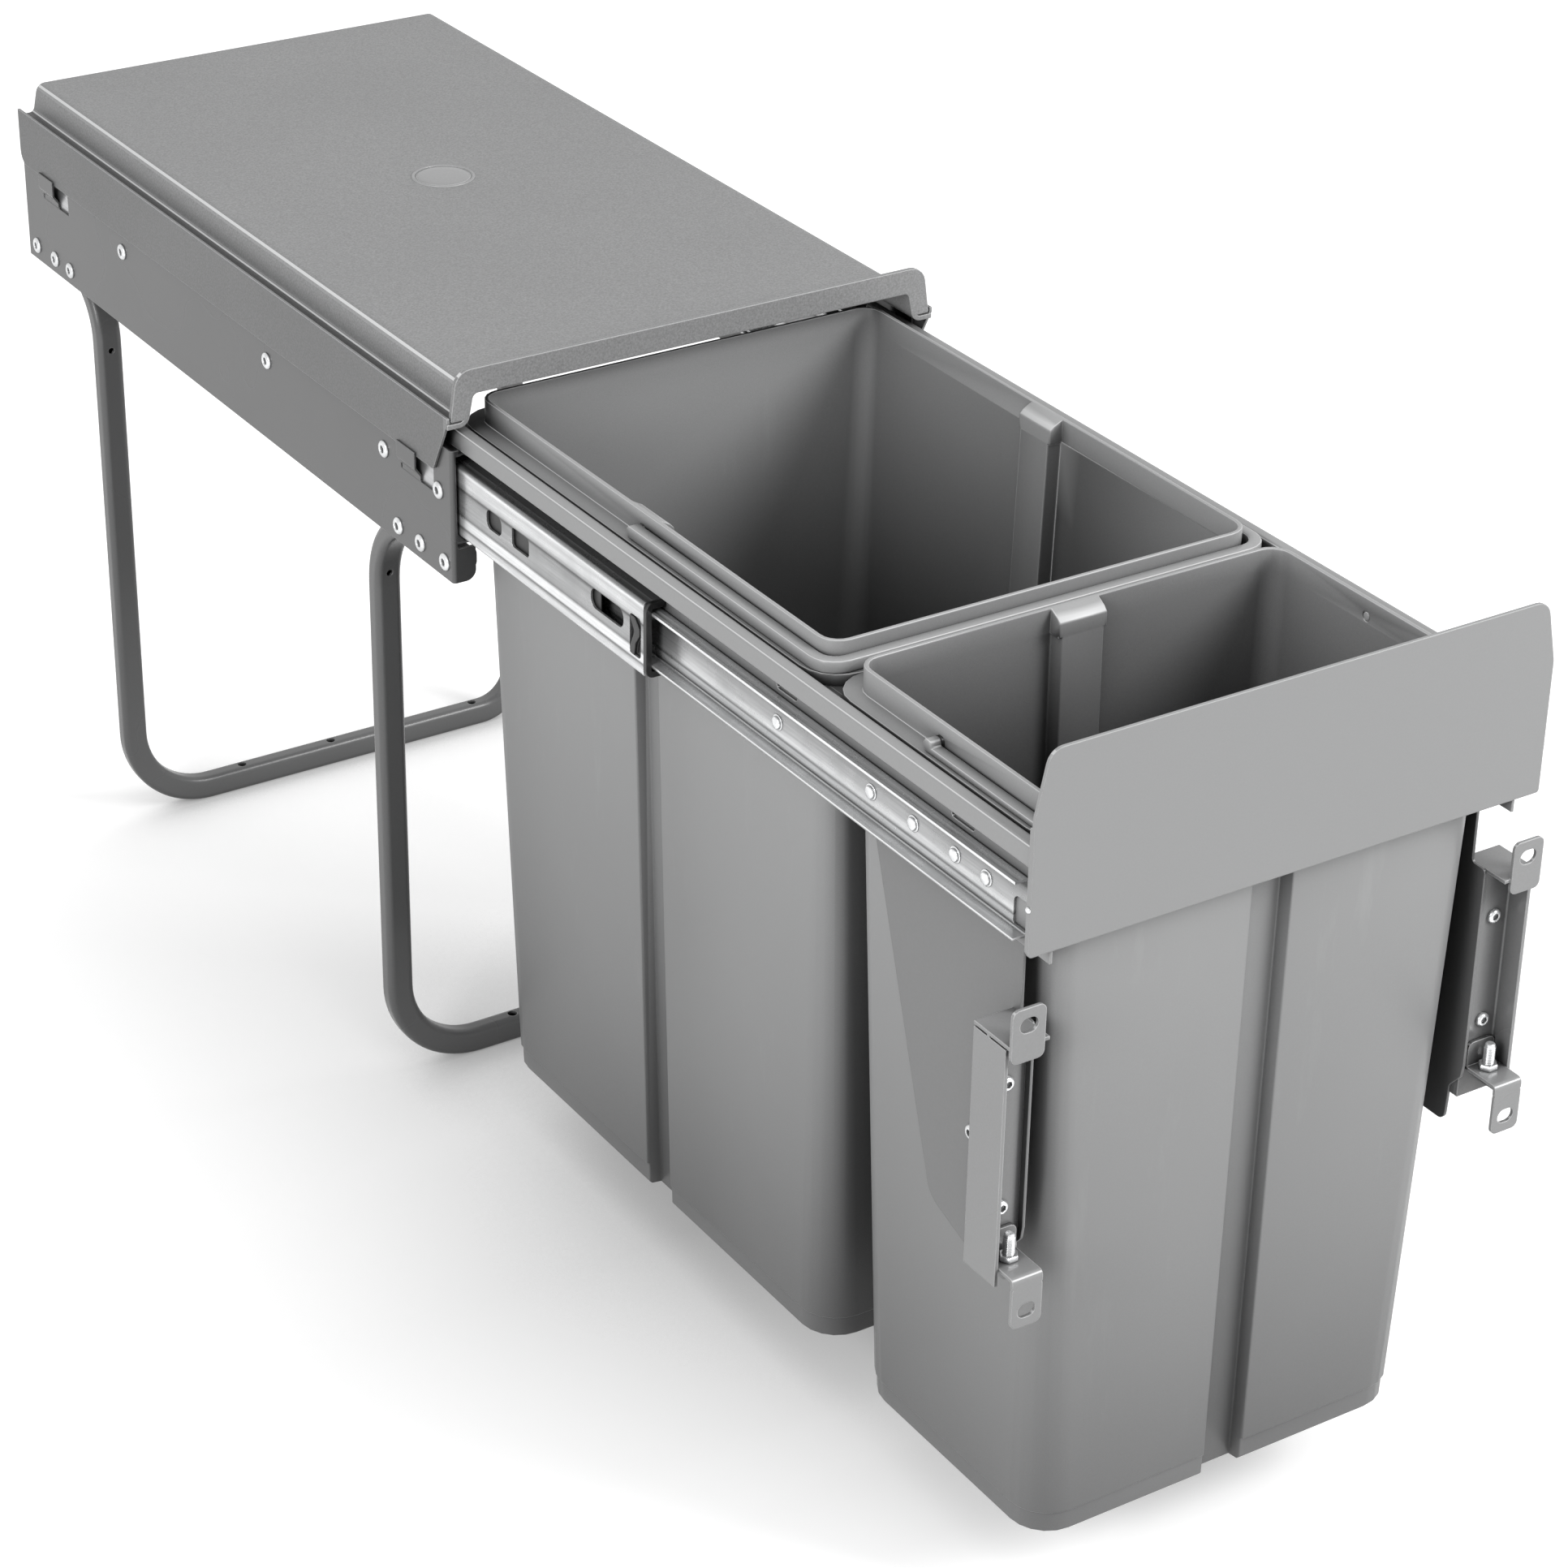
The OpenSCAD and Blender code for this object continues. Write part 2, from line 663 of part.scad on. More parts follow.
// One side of a leg: foot bend, upright, elbow and the run along the plate
module leg_side(y, bend, elbow, ahead) {
    top = tube_z - elbow + tube_d / 2;
    back = ahead ? -1 : 1;
    along = y + back * (elbow - tube_d / 2);
    end = ahead ? front_tube_end : frame_d - 1;
    translate([plate_in - bend, y, bend]) mirror([1, 0, 0]) foot_bend(bend);
    translate([tube_mid, y, bend]) linear_extrude(top - bend) tube_section(tube_w, tube_d);
    translate([tube_mid, along, top]) rotate([0, 0, 90])
        rotate([90, 0, 0]) rotate([0, 0, back > 0 ? 90 : 0]) rotate_extrude(angle = 90)
            translate([elbow - tube_d / 2, 0]) tube_section(tube_d, tube_w);
    translate([tube_mid, 0, tube_z]) rotate([90, 0, 0])
        translate([0, 0, -max(along, end)]) linear_extrude(abs(along - end))
            tube_section(tube_w, tube_d);
}

module leg(y, elbow, ahead) placed() color("#6f6f6f") difference() {
    union() {
        on_side(-1) leg_side(y, left_bend_r, elbow, ahead);
        on_side(1) leg_side(y, right_bend_r, elbow, ahead);
        translate([-plate_in + left_bend_r, y, tube_w / 2]) rotate([0, 90, 0])
            linear_extrude(2 * plate_in - left_bend_r - right_bend_r) tube_section(tube_w, tube_d);
    }
    for (x = [-floor_hole_left, 0, floor_hole_right])
        rod_z(x, y, -cut, tube_w + cut, floor_hole_d / 2);
    for (side = [-1, 1])
        rod_y(side * tube_mid, y - tube_d, y + tube_d, cross_hole_z, cross_hole_d / 2);
    for (side = [-1, 1]) on_side(side) for (hole = ahead ? front_rivets : rear_rivets)
        rivet_hole(plate_in - tube_wall - cut, plate_in + cut, hole, tube_z);
}

module front_leg() leg(front_leg_y, front_elbow_r, true);
module rear_leg() leg(frame_d - rear_leg_in, rear_elbow_r, false);

module frame_rivets() placed() color("#c9c9c9") {
    for (side = [-1, 1]) on_side(side) {
        for (y = upper_rivets) rivet(plate_in - rail_t, plate_x, y, upper_rivet_z);
        for (y = concat(front_rivets, rear_rivets))
            rivet(plate_in - tube_wall, plate_x, y, tube_z);
    }
}

// Slides: three telescoping rails on two stages of balls
module ball_grooves(x, off, y0, y1) {
    for (z = [-off, off]) rod_y(x, y0 - cut, y1 + cut, slide_z + z, groove_r);
}

module channel_section(web, tip, half) {
    mid = sign(tip - web) * rail_t / 2;
    at = half - rail_t / 2;
    folded([
        [tip, slide_z - at], [web + mid, slide_z - at],
        [web + mid, slide_z + at], [tip, slide_z + at]
    ], rail_t, rail_t);
}

module outer_rail(side) placed() color("#b4b4b4") on_side(side) {
    end = outer_rail_y + outer_rail_l;
    difference() {
        along_y(outer_rail_y, end)
            channel_section(plate_in, outer_ball_x - race_reach, outer_half);
        ball_grooves(outer_ball_x, outer_ball_off, outer_rail_y, end);
        for (y = upper_rivets)
            rivet_hole(plate_in - rail_t - cut, plate_in + cut, y, upper_rivet_z);
    }
}

module left_outer_rail() outer_rail(-1);
module right_outer_rail() outer_rail(1);

// Places on the middle rail, from its front end and its centre line
latch_l = 19;
latch_t = 0.9;
window_z = 2.5;
window_h = 9.2;
rear_window = [119.5, 133];
mid_window = [95.5, 110.5];
front_window = [16, 43];
lever_slot = [2, 11];
lever_low = -10;
lever_high = 8.5;
mid_tip_gap = 0.9;
stop_l = 2.2;
stop_in = 1.6;

// A window through the middle rail's web
module web_window(from_to, low, high, r) {
    along_x(mid_web_x - rail_t - cut, mid_web_x + cut) round_rect(
        [mid_rail_y + from_to[0], slide_z + low], [mid_rail_y + from_to[1], slide_z + high], r);
}

module middle_rail(side) placed() color("#c4c4c4") on_side(side) {
    end = mid_rail_y + mid_rail_l;
    low = window_z - window_h / 2;
    high = window_z + window_h / 2;
    difference() {
        along_y(mid_rail_y, end) channel_section(mid_web_x, slide_in + mid_tip_gap, mid_half);
        ball_grooves(outer_ball_x, outer_ball_off, mid_rail_y, end);
        ball_grooves(inner_ball_x, inner_ball_off, mid_rail_y, end);
        web_window(rear_window, low, high, 3.5);
        web_window(mid_window, low, high, 2);
        web_window(front_window, low, high, 4);
        web_window(lever_slot, lever_low, lever_high, 2);
    }
}

module left_middle_rail() middle_rail(-1);
module right_middle_rail() middle_rail(1);

// The latch: a bowed lever in its slot, a plate behind the web and a stop round the rail's end
module lever_outline() {
    y = mid_rail_y + lever_slot[0];
    z = slide_z;
    outline([
        [y + 8.4, z + 8, 0.6], [y + 5, z + 8, 0.6], [y + 0.6, z + 3.5, 2], [y + 0.8, z + 0.5, 1],
        [y + 4, z - 4, 1.5], [y + 5, z - 9.5, 0.6], [y + 8.4, z - 9.5, 0.6], [y + 7.6, z - 5, 1.5],
        [y + 4.5, z + 1.5, 2], [y + 7.5, z + 5.5, 1]
    ]);
}

module rail_latch(side) placed() color("#2b2b2b") on_side(side) {
    y = mid_rail_y;
    web_in_x = mid_web_x - rail_t;
    tip = slide_in + mid_tip_gap;
    bar = rail_t + stop_in;
    half = mid_half - bar / 2;
    along_x(web_in_x - 0.1, mid_web_x + 0.3) lever_outline();
    along_x(web_in_x - latch_t, web_in_x) round_rect(
        [y - 1, slide_z + lever_low - 1], [y + latch_l - 5, slide_z + lever_high + 1], 1);
    along_y(y - stop_l, y) folded([
        [tip, slide_z - half], [mid_web_x - bar / 2, slide_z - half],
        [mid_web_x - bar / 2, slide_z + half], [tip, slide_z + half]
    ], bar, bar * 0.8);
}

module left_rail_latch() rail_latch(-1);
module right_rail_latch() rail_latch(1);

// The inner rail's web is cut back at the front, between its two flanges
web_notch_l = 8;
web_notch_top = 2;

module inner_rail(side) placed() color("#cfcfcf") on_side(side) {
    end = inner_rail_y + inner_rail_l;
    difference() {
        along_y(inner_rail_y, end) channel_section(slide_in, inner_tip_x, inner_half);
        ball_grooves(inner_ball_x, inner_ball_off, inner_rail_y, end);
        for (y = inner_rivets)
            rivet_hole(slide_in - cut, slide_in + rail_t + cut, inner_rail_y + y, slide_z);
        along_x(slide_in - cut, slide_in + rail_t + cut) outline([
            [inner_rail_y - cut, slide_z - inner_half + 2 * rail_t, 0],
            [inner_rail_y + web_notch_l, slide_z - inner_half + 2 * rail_t, 1],
            [inner_rail_y + web_notch_l, slide_z + web_notch_top, 3],
            [inner_rail_y - cut, slide_z + web_notch_top, 0]
        ]);
    }
}

module left_inner_rail() inner_rail(-1);
module right_inner_rail() inner_rail(1);

// A ball cage: a thin channel between two rails, pierced for its two rows of balls
module ball_cage(web, tip, x, off, y, l, first) {
    strip = cage_t / 2;
    difference() {
        along_y(y, y + l) folded([
            [tip, slide_z - off], [web - strip, slide_z - off],
            [web - strip, slide_z + off], [tip, slide_z + off]
        ], cage_t, cage_t);
        for (i = [0:balls_per_row - 1])
            rod_z(x, y + first + i * ball_pitch, slide_z - off - cut, slide_z + off + cut,
                ball_r + 0.1);
    }
}

module balls(x, off, y) {
    for (z = [-off, off]) for (i = [0:balls_per_row - 1])
        translate([x, y + i * ball_pitch, slide_z + z]) sphere(r = ball_r, $fn = 24);
}

outer_cage_web = plate_in - rail_t - cage_play;
inner_cage_web = mid_web_x - rail_t - cage_play;

module outer_cage(side) placed() color("#9b9b9b") on_side(side)
    ball_cage(outer_cage_web, outer_ball_x - cage_reach, outer_ball_x, outer_ball_off, outer_cage_y,
        outer_cage_l, outer_cage_end);

module outer_balls(side) placed() color("#e0e0e0") on_side(side)
    balls(outer_ball_x, outer_ball_off, outer_cage_y + outer_cage_end);

module inner_cage(side) placed() color("#3a3a3a") on_side(side)
    ball_cage(inner_cage_web, inner_ball_x - cage_reach, inner_ball_x, inner_ball_off, inner_cage_y,
        inner_cage_l, inner_cage_end);

module inner_balls(side) placed() color("#e0e0e0") on_side(side)
    balls(inner_ball_x, inner_ball_off, inner_cage_y + inner_cage_end);

module left_outer_cage() outer_cage(-1);
module right_outer_cage() outer_cage(1);
module left_outer_balls() outer_balls(-1);
module right_outer_balls() outer_balls(1);
module left_inner_cage() inner_cage(-1);
module right_inner_cage() inner_cage(1);
module left_inner_balls() inner_balls(-1);
module right_inner_balls() inner_balls(1);

// Carrier rails: the web on the slide, the seat step for the bins and the shoulder
module carrier_section() {
    h = carrier_t / 2;
    folded([
        [web_out - h, slide_z - web_drop], [web_out - h, seat_z - h], [seat_out + h, seat_z - h],
        [seat_out + h, shoulder_z - h], [shoulder_out - h, shoulder_z - h],
        [shoulder_out - h, shoulder_z - outer_lip_h]
    ], carrier_t, carrier_t * 0.9);
}

web_windows = [50, 172];
web_window_l = 15;
web_window_low = 14;
web_window_h = 6;

module carrier_rail(side) placed() color("#7f7f7f") on_side(side) {
    difference() {
        along_y(panel_y, panel_y + carrier_l) carrier_section();
        for (y = inner_rivets)
            rivet_hole(web_in - cut, web_out + cut, inner_rail_y + y, slide_z);
        for (y = web_windows) along_x(web_in - cut, web_out + cut) round_rect(
            [panel_y + y, slide_z + web_window_low],
            [panel_y + y + web_window_l, slide_z + web_window_low + web_window_h], 1.5);
    }
}

module left_carrier_rail() carrier_rail(-1);
module right_carrier_rail() carrier_rail(1);

module rail_rivets() placed() color("#d2d2d2") {
    for (side = [-1, 1]) on_side(side) for (y = inner_rivets) {
        rivet(web_in, slide_in + rail_t, inner_rail_y + y, slide_z);
        translate([web_in, inner_rail_y + y, slide_z]) rotate([0, -90, 0])
            cylinder(h = 0.8, r = rivet_d / 2 + 0.8);
    }
}

rear_bar_in = 8;
rear_bar_w = 9.5;

// Angles inside the webs that widen the bin seats
module bin_support(side) placed() color("#6c6c6c") on_side(side) {
    h = carrier_t / 2;
    along_y(panel_y + front_bar_w + 1, panel_y + carrier_l - rear_bar_in - rear_bar_w - 0.5) folded([
        [web_in - h, seat_z - support_h], [web_in - h, seat_z - h], [web_in - support_w, seat_z - h]
    ], carrier_t, carrier_t * 0.9);
}

module left_bin_support() bin_support(-1);
module right_bin_support() bin_support(1);

// Cross bars between the carrier webs
module middle_bar() placed() color("#6c6c6c") {
    h = carrier_t / 2;
    w = middle_bar_w / 2;
    span = web_in - support_w;
    along_x(-span, span) folded([
        [bar_mid - w + h, seat_z - bar_h], [bar_mid - w + h, seat_z - h],
        [bar_mid + w - h, seat_z - h], [bar_mid + w - h, seat_z - bar_h]
    ], carrier_t, carrier_t);
}

module front_bar() placed() color("#6c6c6c") {
    h = carrier_t / 2;
    along_x(-web_in, web_in) folded([
        [panel_y + h, seat_z - bar_h], [panel_y + h, seat_z - h],
        [panel_y + front_bar_w, seat_z - h]
    ], carrier_t, carrier_t);
}

module rear_bar() placed() color("#6c6c6c") {
    h = carrier_t / 2;
    y = panel_y + carrier_l - rear_bar_in;
    along_x(-web_in, web_in) folded([
        [y - h, seat_z - bar_h], [y - h, seat_z - h], [y - rear_bar_w, seat_z - h]
    ], carrier_t, carrier_t);
}

// Front panel with sloping shoulders and two side returns
front_half = plate_x - front_inset;
front_z = slide_z - front_low;
edge_rivet_y = panel_y - 0.15;
edge_rivet_z = slide_z + 9;
edge_head_d = 2.8;
edge_head_h = 1.1;

module front_outline() {
    top = front_z + front_h;
    outline([
        [-front_half, front_z, 1.5], [front_half, front_z, 1.5],
        [front_half, top - front_slope_h, 12], [front_half - front_slope_w, top, 7],
        [-front_half + front_slope_w, top, 7], [-front_half, top - front_slope_h, 12]
    ]);
}

module front_panel() placed() color("#9a9a9a") {
    high = front_z + front_h - front_slope_h - 4;
    difference() {
        union() {
            along_y(panel_y - front_t, panel_y) front_outline();
            for (side = [-1, 1]) on_side(side) along_x(front_half - front_t, front_half) outline([
                [panel_y - front_t / 2, front_z + 1.5, 0], [panel_y + return_d, front_z + 1.5, 0.8],
                [panel_y + return_d, high, 0.8], [panel_y - front_t / 2, high, 0]
            ]);
        }
        for (side = [-1, 1]) on_side(side) rod_x(front_half - front_t - cut, front_half + cut,
            edge_rivet_y, edge_rivet_z, edge_rivet_d / 2 + shank_play);
    }
}

module panel_screws() placed() color("#d8d8d8") {
    for (side = [-1, 1]) on_side(side) {
        rod_x(front_half - front_t, front_half, edge_rivet_y, edge_rivet_z, edge_rivet_d / 2);
        translate([front_half, edge_rivet_y, edge_rivet_z]) rotate([0, 90, 0])
            domed_head(edge_head_d, edge_head_h);
    }
}

// Door arms: hanging plates inside the carrier webs
arm_out = web_in;
arm_in = arm_out - carrier_t;
arm_screw_y = arm_front + 35;
arm_screw_z = arm_low + 55;
arm_step_z = arm_low + 31;

module door_arm(side) placed() color("#909090") on_side(side) {
    y = arm_front;
    back = y + arm_setback;
    foot = y + 8 + arm_foot_l;
    difference() {
        along_x(arm_in, arm_out) outline([
            [back, arm_top - 4, 4], [back, channel_top, 2], [y, channel_top, 2], [y, arm_step_z, 0],
            [y + 1, arm_step_z - 6, 2], [y + 7, arm_step_z - 13, 4], [y + 8, arm_low, 4],
            [y + 33, arm_low, 4], [foot, arm_low + 10, 12], [y + arm_l, arm_top, 4],
            [back, arm_top, 2]
        ]);
        rod_x(arm_in - cut, arm_out + cut, arm_screw_y, arm_screw_z, screw_d / 2 + shank_play);
    }
}

module left_door_arm() door_arm(-1);
module right_door_arm() door_arm(1);

// Door brackets: a channel beside the arm, with a shelf over it that ends in the door tab
slot_down = 7.5;
tab_in = web_out + 1.5;
tab_out = tab_in + tab_w;
screw_x = (arm_out + channel_out) / 2;

module tab_slot(x, y, z) {
    half = (tab_slot_l - tab_slot_h) / 2;
    for (off = [-half, half]) rod_y(x + off, y - cut, y + bracket_t + cut, z, tab_slot_h / 2);
    translate([x - half, y - cut, z - tab_slot_h / 2])
        cube([2 * half, bracket_t + 2 * cut, tab_slot_h]);
}

module door_bracket(side, low_shelf) placed() color("#a2a2a2") on_side(side) {
    h = bracket_t / 2;
    front = channel_back - channel_d;
    rear = channel_back + channel_rear;
    wall = channel_top - bracket_t - shelf_gap;
    difference() {
        union() {
            translate([0, 0, channel_low]) linear_extrude(wall - channel_low) folded([
                [arm_out + h, rear], [arm_out + h, channel_back - h],
                [channel_out - h, channel_back - h], [channel_out - h, front]
            ], bracket_t, bracket_t);
            translate([channel_out - bracket_t, channel_back - 2 * bracket_t, channel_low])
                cube([bracket_t, channel_rear + 2 * bracket_t, wall - channel_low]);
            translate([arm_out, channel_back - bracket_t, channel_low])
                cube([channel_out - arm_out, bracket_t, channel_top - channel_low]);
            translate([arm_out, tab_y + bracket_t / 2, channel_top - bracket_t])
                cube([channel_out - arm_out, rear - tab_y - bracket_t / 2, bracket_t]);
            along_y(tab_y, tab_y + bracket_t) round_rect(
                [tab_in, channel_top - tab_foot - bracket_t], [tab_out, channel_top + tab_h], 3);
        }
        tab_slot((tab_in + tab_out) / 2, tab_y, channel_top + tab_h - slot_down);
        for (z = [low_shelf + low_screw_rise, high_screw_z])
            rod_y(screw_x, channel_back - 2 * bracket_t, channel_back + cut, z,
                screw_d / 2 + shank_play);
    }
}

module left_door_bracket() door_bracket(-1, left_shelf_z);
module right_door_bracket() door_bracket(1, right_shelf_z);

module bracket_screws() placed() color("#d8d8d8") {
    face = channel_back - bracket_t;
    for (side = [-1, 1]) on_side(side) {
        for (z = [(side < 0 ? left_shelf_z : right_shelf_z) + low_screw_rise, high_screw_z]) {
            rod_y(screw_x, face, channel_back + 3, z, screw_d / 2);
            translate([screw_x, face, z]) rotate([90, 0, 0])
                domed_head(screw_head_d, screw_head_h);
        }
        rod_x(arm_in - 1, arm_out, arm_screw_y, arm_screw_z, screw_d / 2);
        translate([arm_out, arm_screw_y, arm_screw_z]) rotate([0, 90, 0])
            domed_head(screw_head_d, screw_head_h);
    }
}

// Lower brackets: an upright in the channel, a shelf and a tab that hangs in front
low_in = arm_out + bracket_t + bracket_play;
low_out = channel_out - bracket_t - bracket_play;
low_y = channel_back - bracket_t - bracket_play;
low_mid = (low_in + low_out) / 2;
adjust_y = low_tab_y + adjust_back;

module lower_bracket(side, z) placed() color("#a8a8a8") on_side(side) {
    h = bracket_t / 2;
    difference() {
        union() {
            along_y(low_y - bracket_t, low_y) round_rect(
                [low_in, z - bracket_t], [low_out, z + upright_h], 3);
            translate([low_in, low_tab_y + 2 * bracket_t, z - bracket_t])
                cube([low_out - low_in, low_y - low_tab_y - 2 * bracket_t, bracket_t]);
            along_x(low_in, low_out) folded([
                [low_tab_y + 3 * bracket_t, z - h], [low_tab_y + h, z - h],
                [low_tab_y + h, z - 3 * bracket_t]
            ], bracket_t, bracket_t);
            along_y(low_tab_y, low_tab_y + bracket_t) round_rect(
                [low_in, z - low_tab_h], [low_out, z - 2 * bracket_t], 3);
        }
        tab_slot(low_mid, low_tab_y, z - low_tab_h + slot_down);
        rod_z(low_mid, adjust_y, z - bracket_t - cut, z + cut, adjust_d / 2 + shank_play);
    }
}

module left_lower_bracket() lower_bracket(-1, left_shelf_z);
module right_lower_bracket() lower_bracket(1, right_shelf_z);

adjust_nut_h = 2.6;
adjust_nut_w = 1.6;

module adjusting_screw(side, z) placed() color("#d8d8d8") on_side(side) {
    r = adjust_d / 2;
    rod_z(low_mid, adjust_y, z - bracket_t - 3, z + adjust_l, r);
    translate([low_mid, adjust_y, z]) rotate_extrude() polygon([
        [0, 0], [r + adjust_nut_w, 0], [r + adjust_nut_w, adjust_nut_h - 0.6],
        [r + adjust_nut_w - 0.6, adjust_nut_h], [0, adjust_nut_h]
    ]);
}

module left_adjusting_screw() adjusting_screw(-1, left_shelf_z);
module right_adjusting_screw() adjusting_screw(1, right_shelf_z);

// Bins: a drafted shell with a foot band, grooved walls, a ledge and a rim.
// A bin is given as its front, its back, its ledge's height and the drafts of its two ends
large = [large_front, large_back, large_ledge_z, facing_draft, end_draft];
small = [small_front, small_back, small_ledge_z, end_draft, facing_draft];

function lean(bin, z, angle) = (bin[2] - z) * tan(angle);

module bin_slab(bin, z, inset, r) {
    side = rim_half - lean(bin, z, side_draft) - inset;
    translate([0, 0, z]) linear_extrude(0.02) round_rect(
        [-side, bin[0] + lean(bin, z, bin[3]) + inset],
        [side, bin[1] - lean(bin, z, bin[4]) - inset], r - inset);
}

module bin_ring(bin, z0, z1, grow, wall) {
    side = rim_half + grow;
    front = bin[0] - grow;
    back = bin[1] + grow;
    translate([0, 0, z0]) linear_extrude(z1 - z0) difference() {
        round_rect([-side, front], [side, back], rim_r + grow);
        round_rect([-side + wall, front + wall], [side - wall, back - wall], rim_r + grow - wall);
    }
}

// A groove's section: deep in the middle, with sloping cheeks
module groove_section(depth, w) {
    polygon([[-depth, -w / 2 + 1.5], [1.5, -w / 2], [1.5, w / 2], [-depth, w / 2 - 1.5]]);
}

// Grooves follow the drafted walls: each is given as [x, y, turn, draft]
module groove_bars(list, ledge, z0, z1, depth, w) {
    for (g = list) translate([g[0], g[1], ledge]) rotate([0, 0, g[2]]) rotate([0, g[3], 0])
        translate([0, 0, z0 - ledge]) linear_extrude(z1 - z0) groove_section(depth, w);
}

module bin_shell(bin, grooves) {
    ledge = bin[2];
    under = ledge - bin_wall;
    foot_top = bin_low + foot_h;
    difference() {
        union() {
            hull() {
                bin_slab(bin, foot_top, 0, foot_r);
                bin_slab(bin, ledge - 0.02, 0, rim_r);
            }
            hull() {
                bin_slab(bin, bin_low, foot_in + 1.2, foot_r + 1.2);
                bin_slab(bin, bin_low + 1.4, foot_in, foot_r);
                bin_slab(bin, foot_top, foot_in, foot_r);
            }
            bin_ring(bin, under, ledge, ledge_w, ledge_w + cut);
            bin_ring(bin, ledge - ledge_lip, ledge, ledge_w, bin_wall);
            bin_ring(bin, ledge - 0.02, ledge + rim_h, 0, bin_wall);
            groove_caps(grooves, ledge, ledge + rim_h);
        }
        difference() {
            hull() {
                bin_slab(bin, bin_low + bin_wall, bin_wall, foot_r + bin_wall);
                bin_slab(bin, foot_top + 3, bin_wall, foot_r);
                bin_slab(bin, ledge + 0.02, bin_wall, rim_r);
            }
            groove_bars(grooves, ledge, bin_low - 1, ledge + 1, groove_in + bin_wall, groove_w + 3);
        }
        groove_bars(grooves, ledge, bin_low - 5, under, groove_in, groove_w);
    }
}

// The closed top of a groove, chamfered towards the bin's inside
module groove_caps(list, z0, z1) {
    deep = groove_in + bin_wall;
    half = groove_w / 2 + 1.5;
    for (g = list) translate([g[0], g[1], 0]) rotate([0, 0, g[2]]) rotate([90, 0, 0])
        translate([0, 0, -half]) linear_extrude(2 * half) polygon([
            [0, z0 - 0.02], [0, z1], [-bin_wall, z1], [-deep + 2, z1 - 2.5],
            [-deep, z1 - 4.5], [-deep, z0 - 0.02]
        ]);
}

pin_r = grip_pin_d / 2;
grip_half = grip_w / 2;
grip_x = rim_half + grip_gap + grip_half;
pin_in = rim_half - 5;

module large_bin() placed() color("#858585") {
    sides = [[rim_half, large_mid, 0, side_draft], [-rim_half, large_mid, 180, side_draft]];
    z = large_ledge_z + grip_play + grip_half;
    difference() {
        bin_shell(large, sides);
        for (side = [-1, 1]) on_side(side)
            rod_x(pin_in - 0.4, rim_half + cut, large_mid + large_pivot_y, z, pin_r + grip_pin_play);
    }
}

module small_bin() placed() color("#858585") {
    ends = [[0, small_back, 90, facing_draft], [0, small_front, -90, end_draft]];
    z = small_ledge_z + grip_play + grip_half;
    difference() {
        bin_shell(small, ends);
        for (side = [-1, 1]) on_side(side) rod_x(rim_half - bin_wall - cut, rim_half + cut,
            small_mid + small_pivot_y, z, pin_r + grip_pin_play);
    }
}

// Handles: a flat strip round the front of a bin, hinged on two pins in its rim
module handle_strip(front, pivot, ledge, t) {
    z0 = ledge + grip_play;
    out = grip_x + grip_half;
    in = grip_x - grip_half;
    y = front - grip_gap - grip_w;
    translate([0, 0, z0]) linear_extrude(t) difference() {
        outline([[-out, pivot, 0], [-out, y, 12], [out, y, 12], [out, pivot, 0]]);
        outline([
            [-in, pivot + cut, 0], [-in, y + grip_w, 7], [in, y + grip_w, 7], [in, pivot + cut, 0]
        ]);
    }
    for (side = [-1, 1]) on_side(side) rod_x(in, out, pivot, z0 + grip_half, grip_half);
}

module large_handle() placed() color("#a0a0a0") {
    pivot = large_mid + large_pivot_y;
    z = large_ledge_z + grip_play + grip_half;
    handle_strip(large_front, pivot, large_ledge_z, grip_w);
    for (side = [-1, 1]) on_side(side) rod_x(pin_in, grip_x, pivot, z, pin_r);
}

module small_handle() placed() color("#a0a0a0") {
    pivot = small_mid + small_pivot_y;
    z = small_ledge_z + grip_play + grip_half;
    handle_strip(small_front, pivot, small_ledge_z, small_grip_t);
    for (side = [-1, 1]) on_side(side) rod_x(rim_half - bin_wall, grip_x, pivot, z, pin_r);
}

lid();
lid_badge();
left_side_plate();
right_side_plate();
front_leg();
rear_leg();
frame_rivets();
left_outer_rail();
right_outer_rail();
left_middle_rail();
right_middle_rail();
left_rail_latch();
right_rail_latch();
left_inner_rail();
right_inner_rail();
left_outer_cage();
right_outer_cage();
left_outer_balls();
right_outer_balls();
left_inner_cage();
right_inner_cage();
left_inner_balls();
right_inner_balls();
left_carrier_rail();
right_carrier_rail();
left_bin_support();
right_bin_support();
rear_bar();
middle_bar();
front_bar();
front_panel();
panel_screws();
rail_rivets();
left_door_arm();
right_door_arm();
left_door_bracket();
right_door_bracket();
bracket_screws();
left_lower_bracket();
right_lower_bracket();
left_adjusting_screw();
right_adjusting_screw();
large_bin();
small_bin();
large_handle();
small_handle();
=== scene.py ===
import json
import math
import bmesh
import bpy
from mathutils import Matrix, Vector

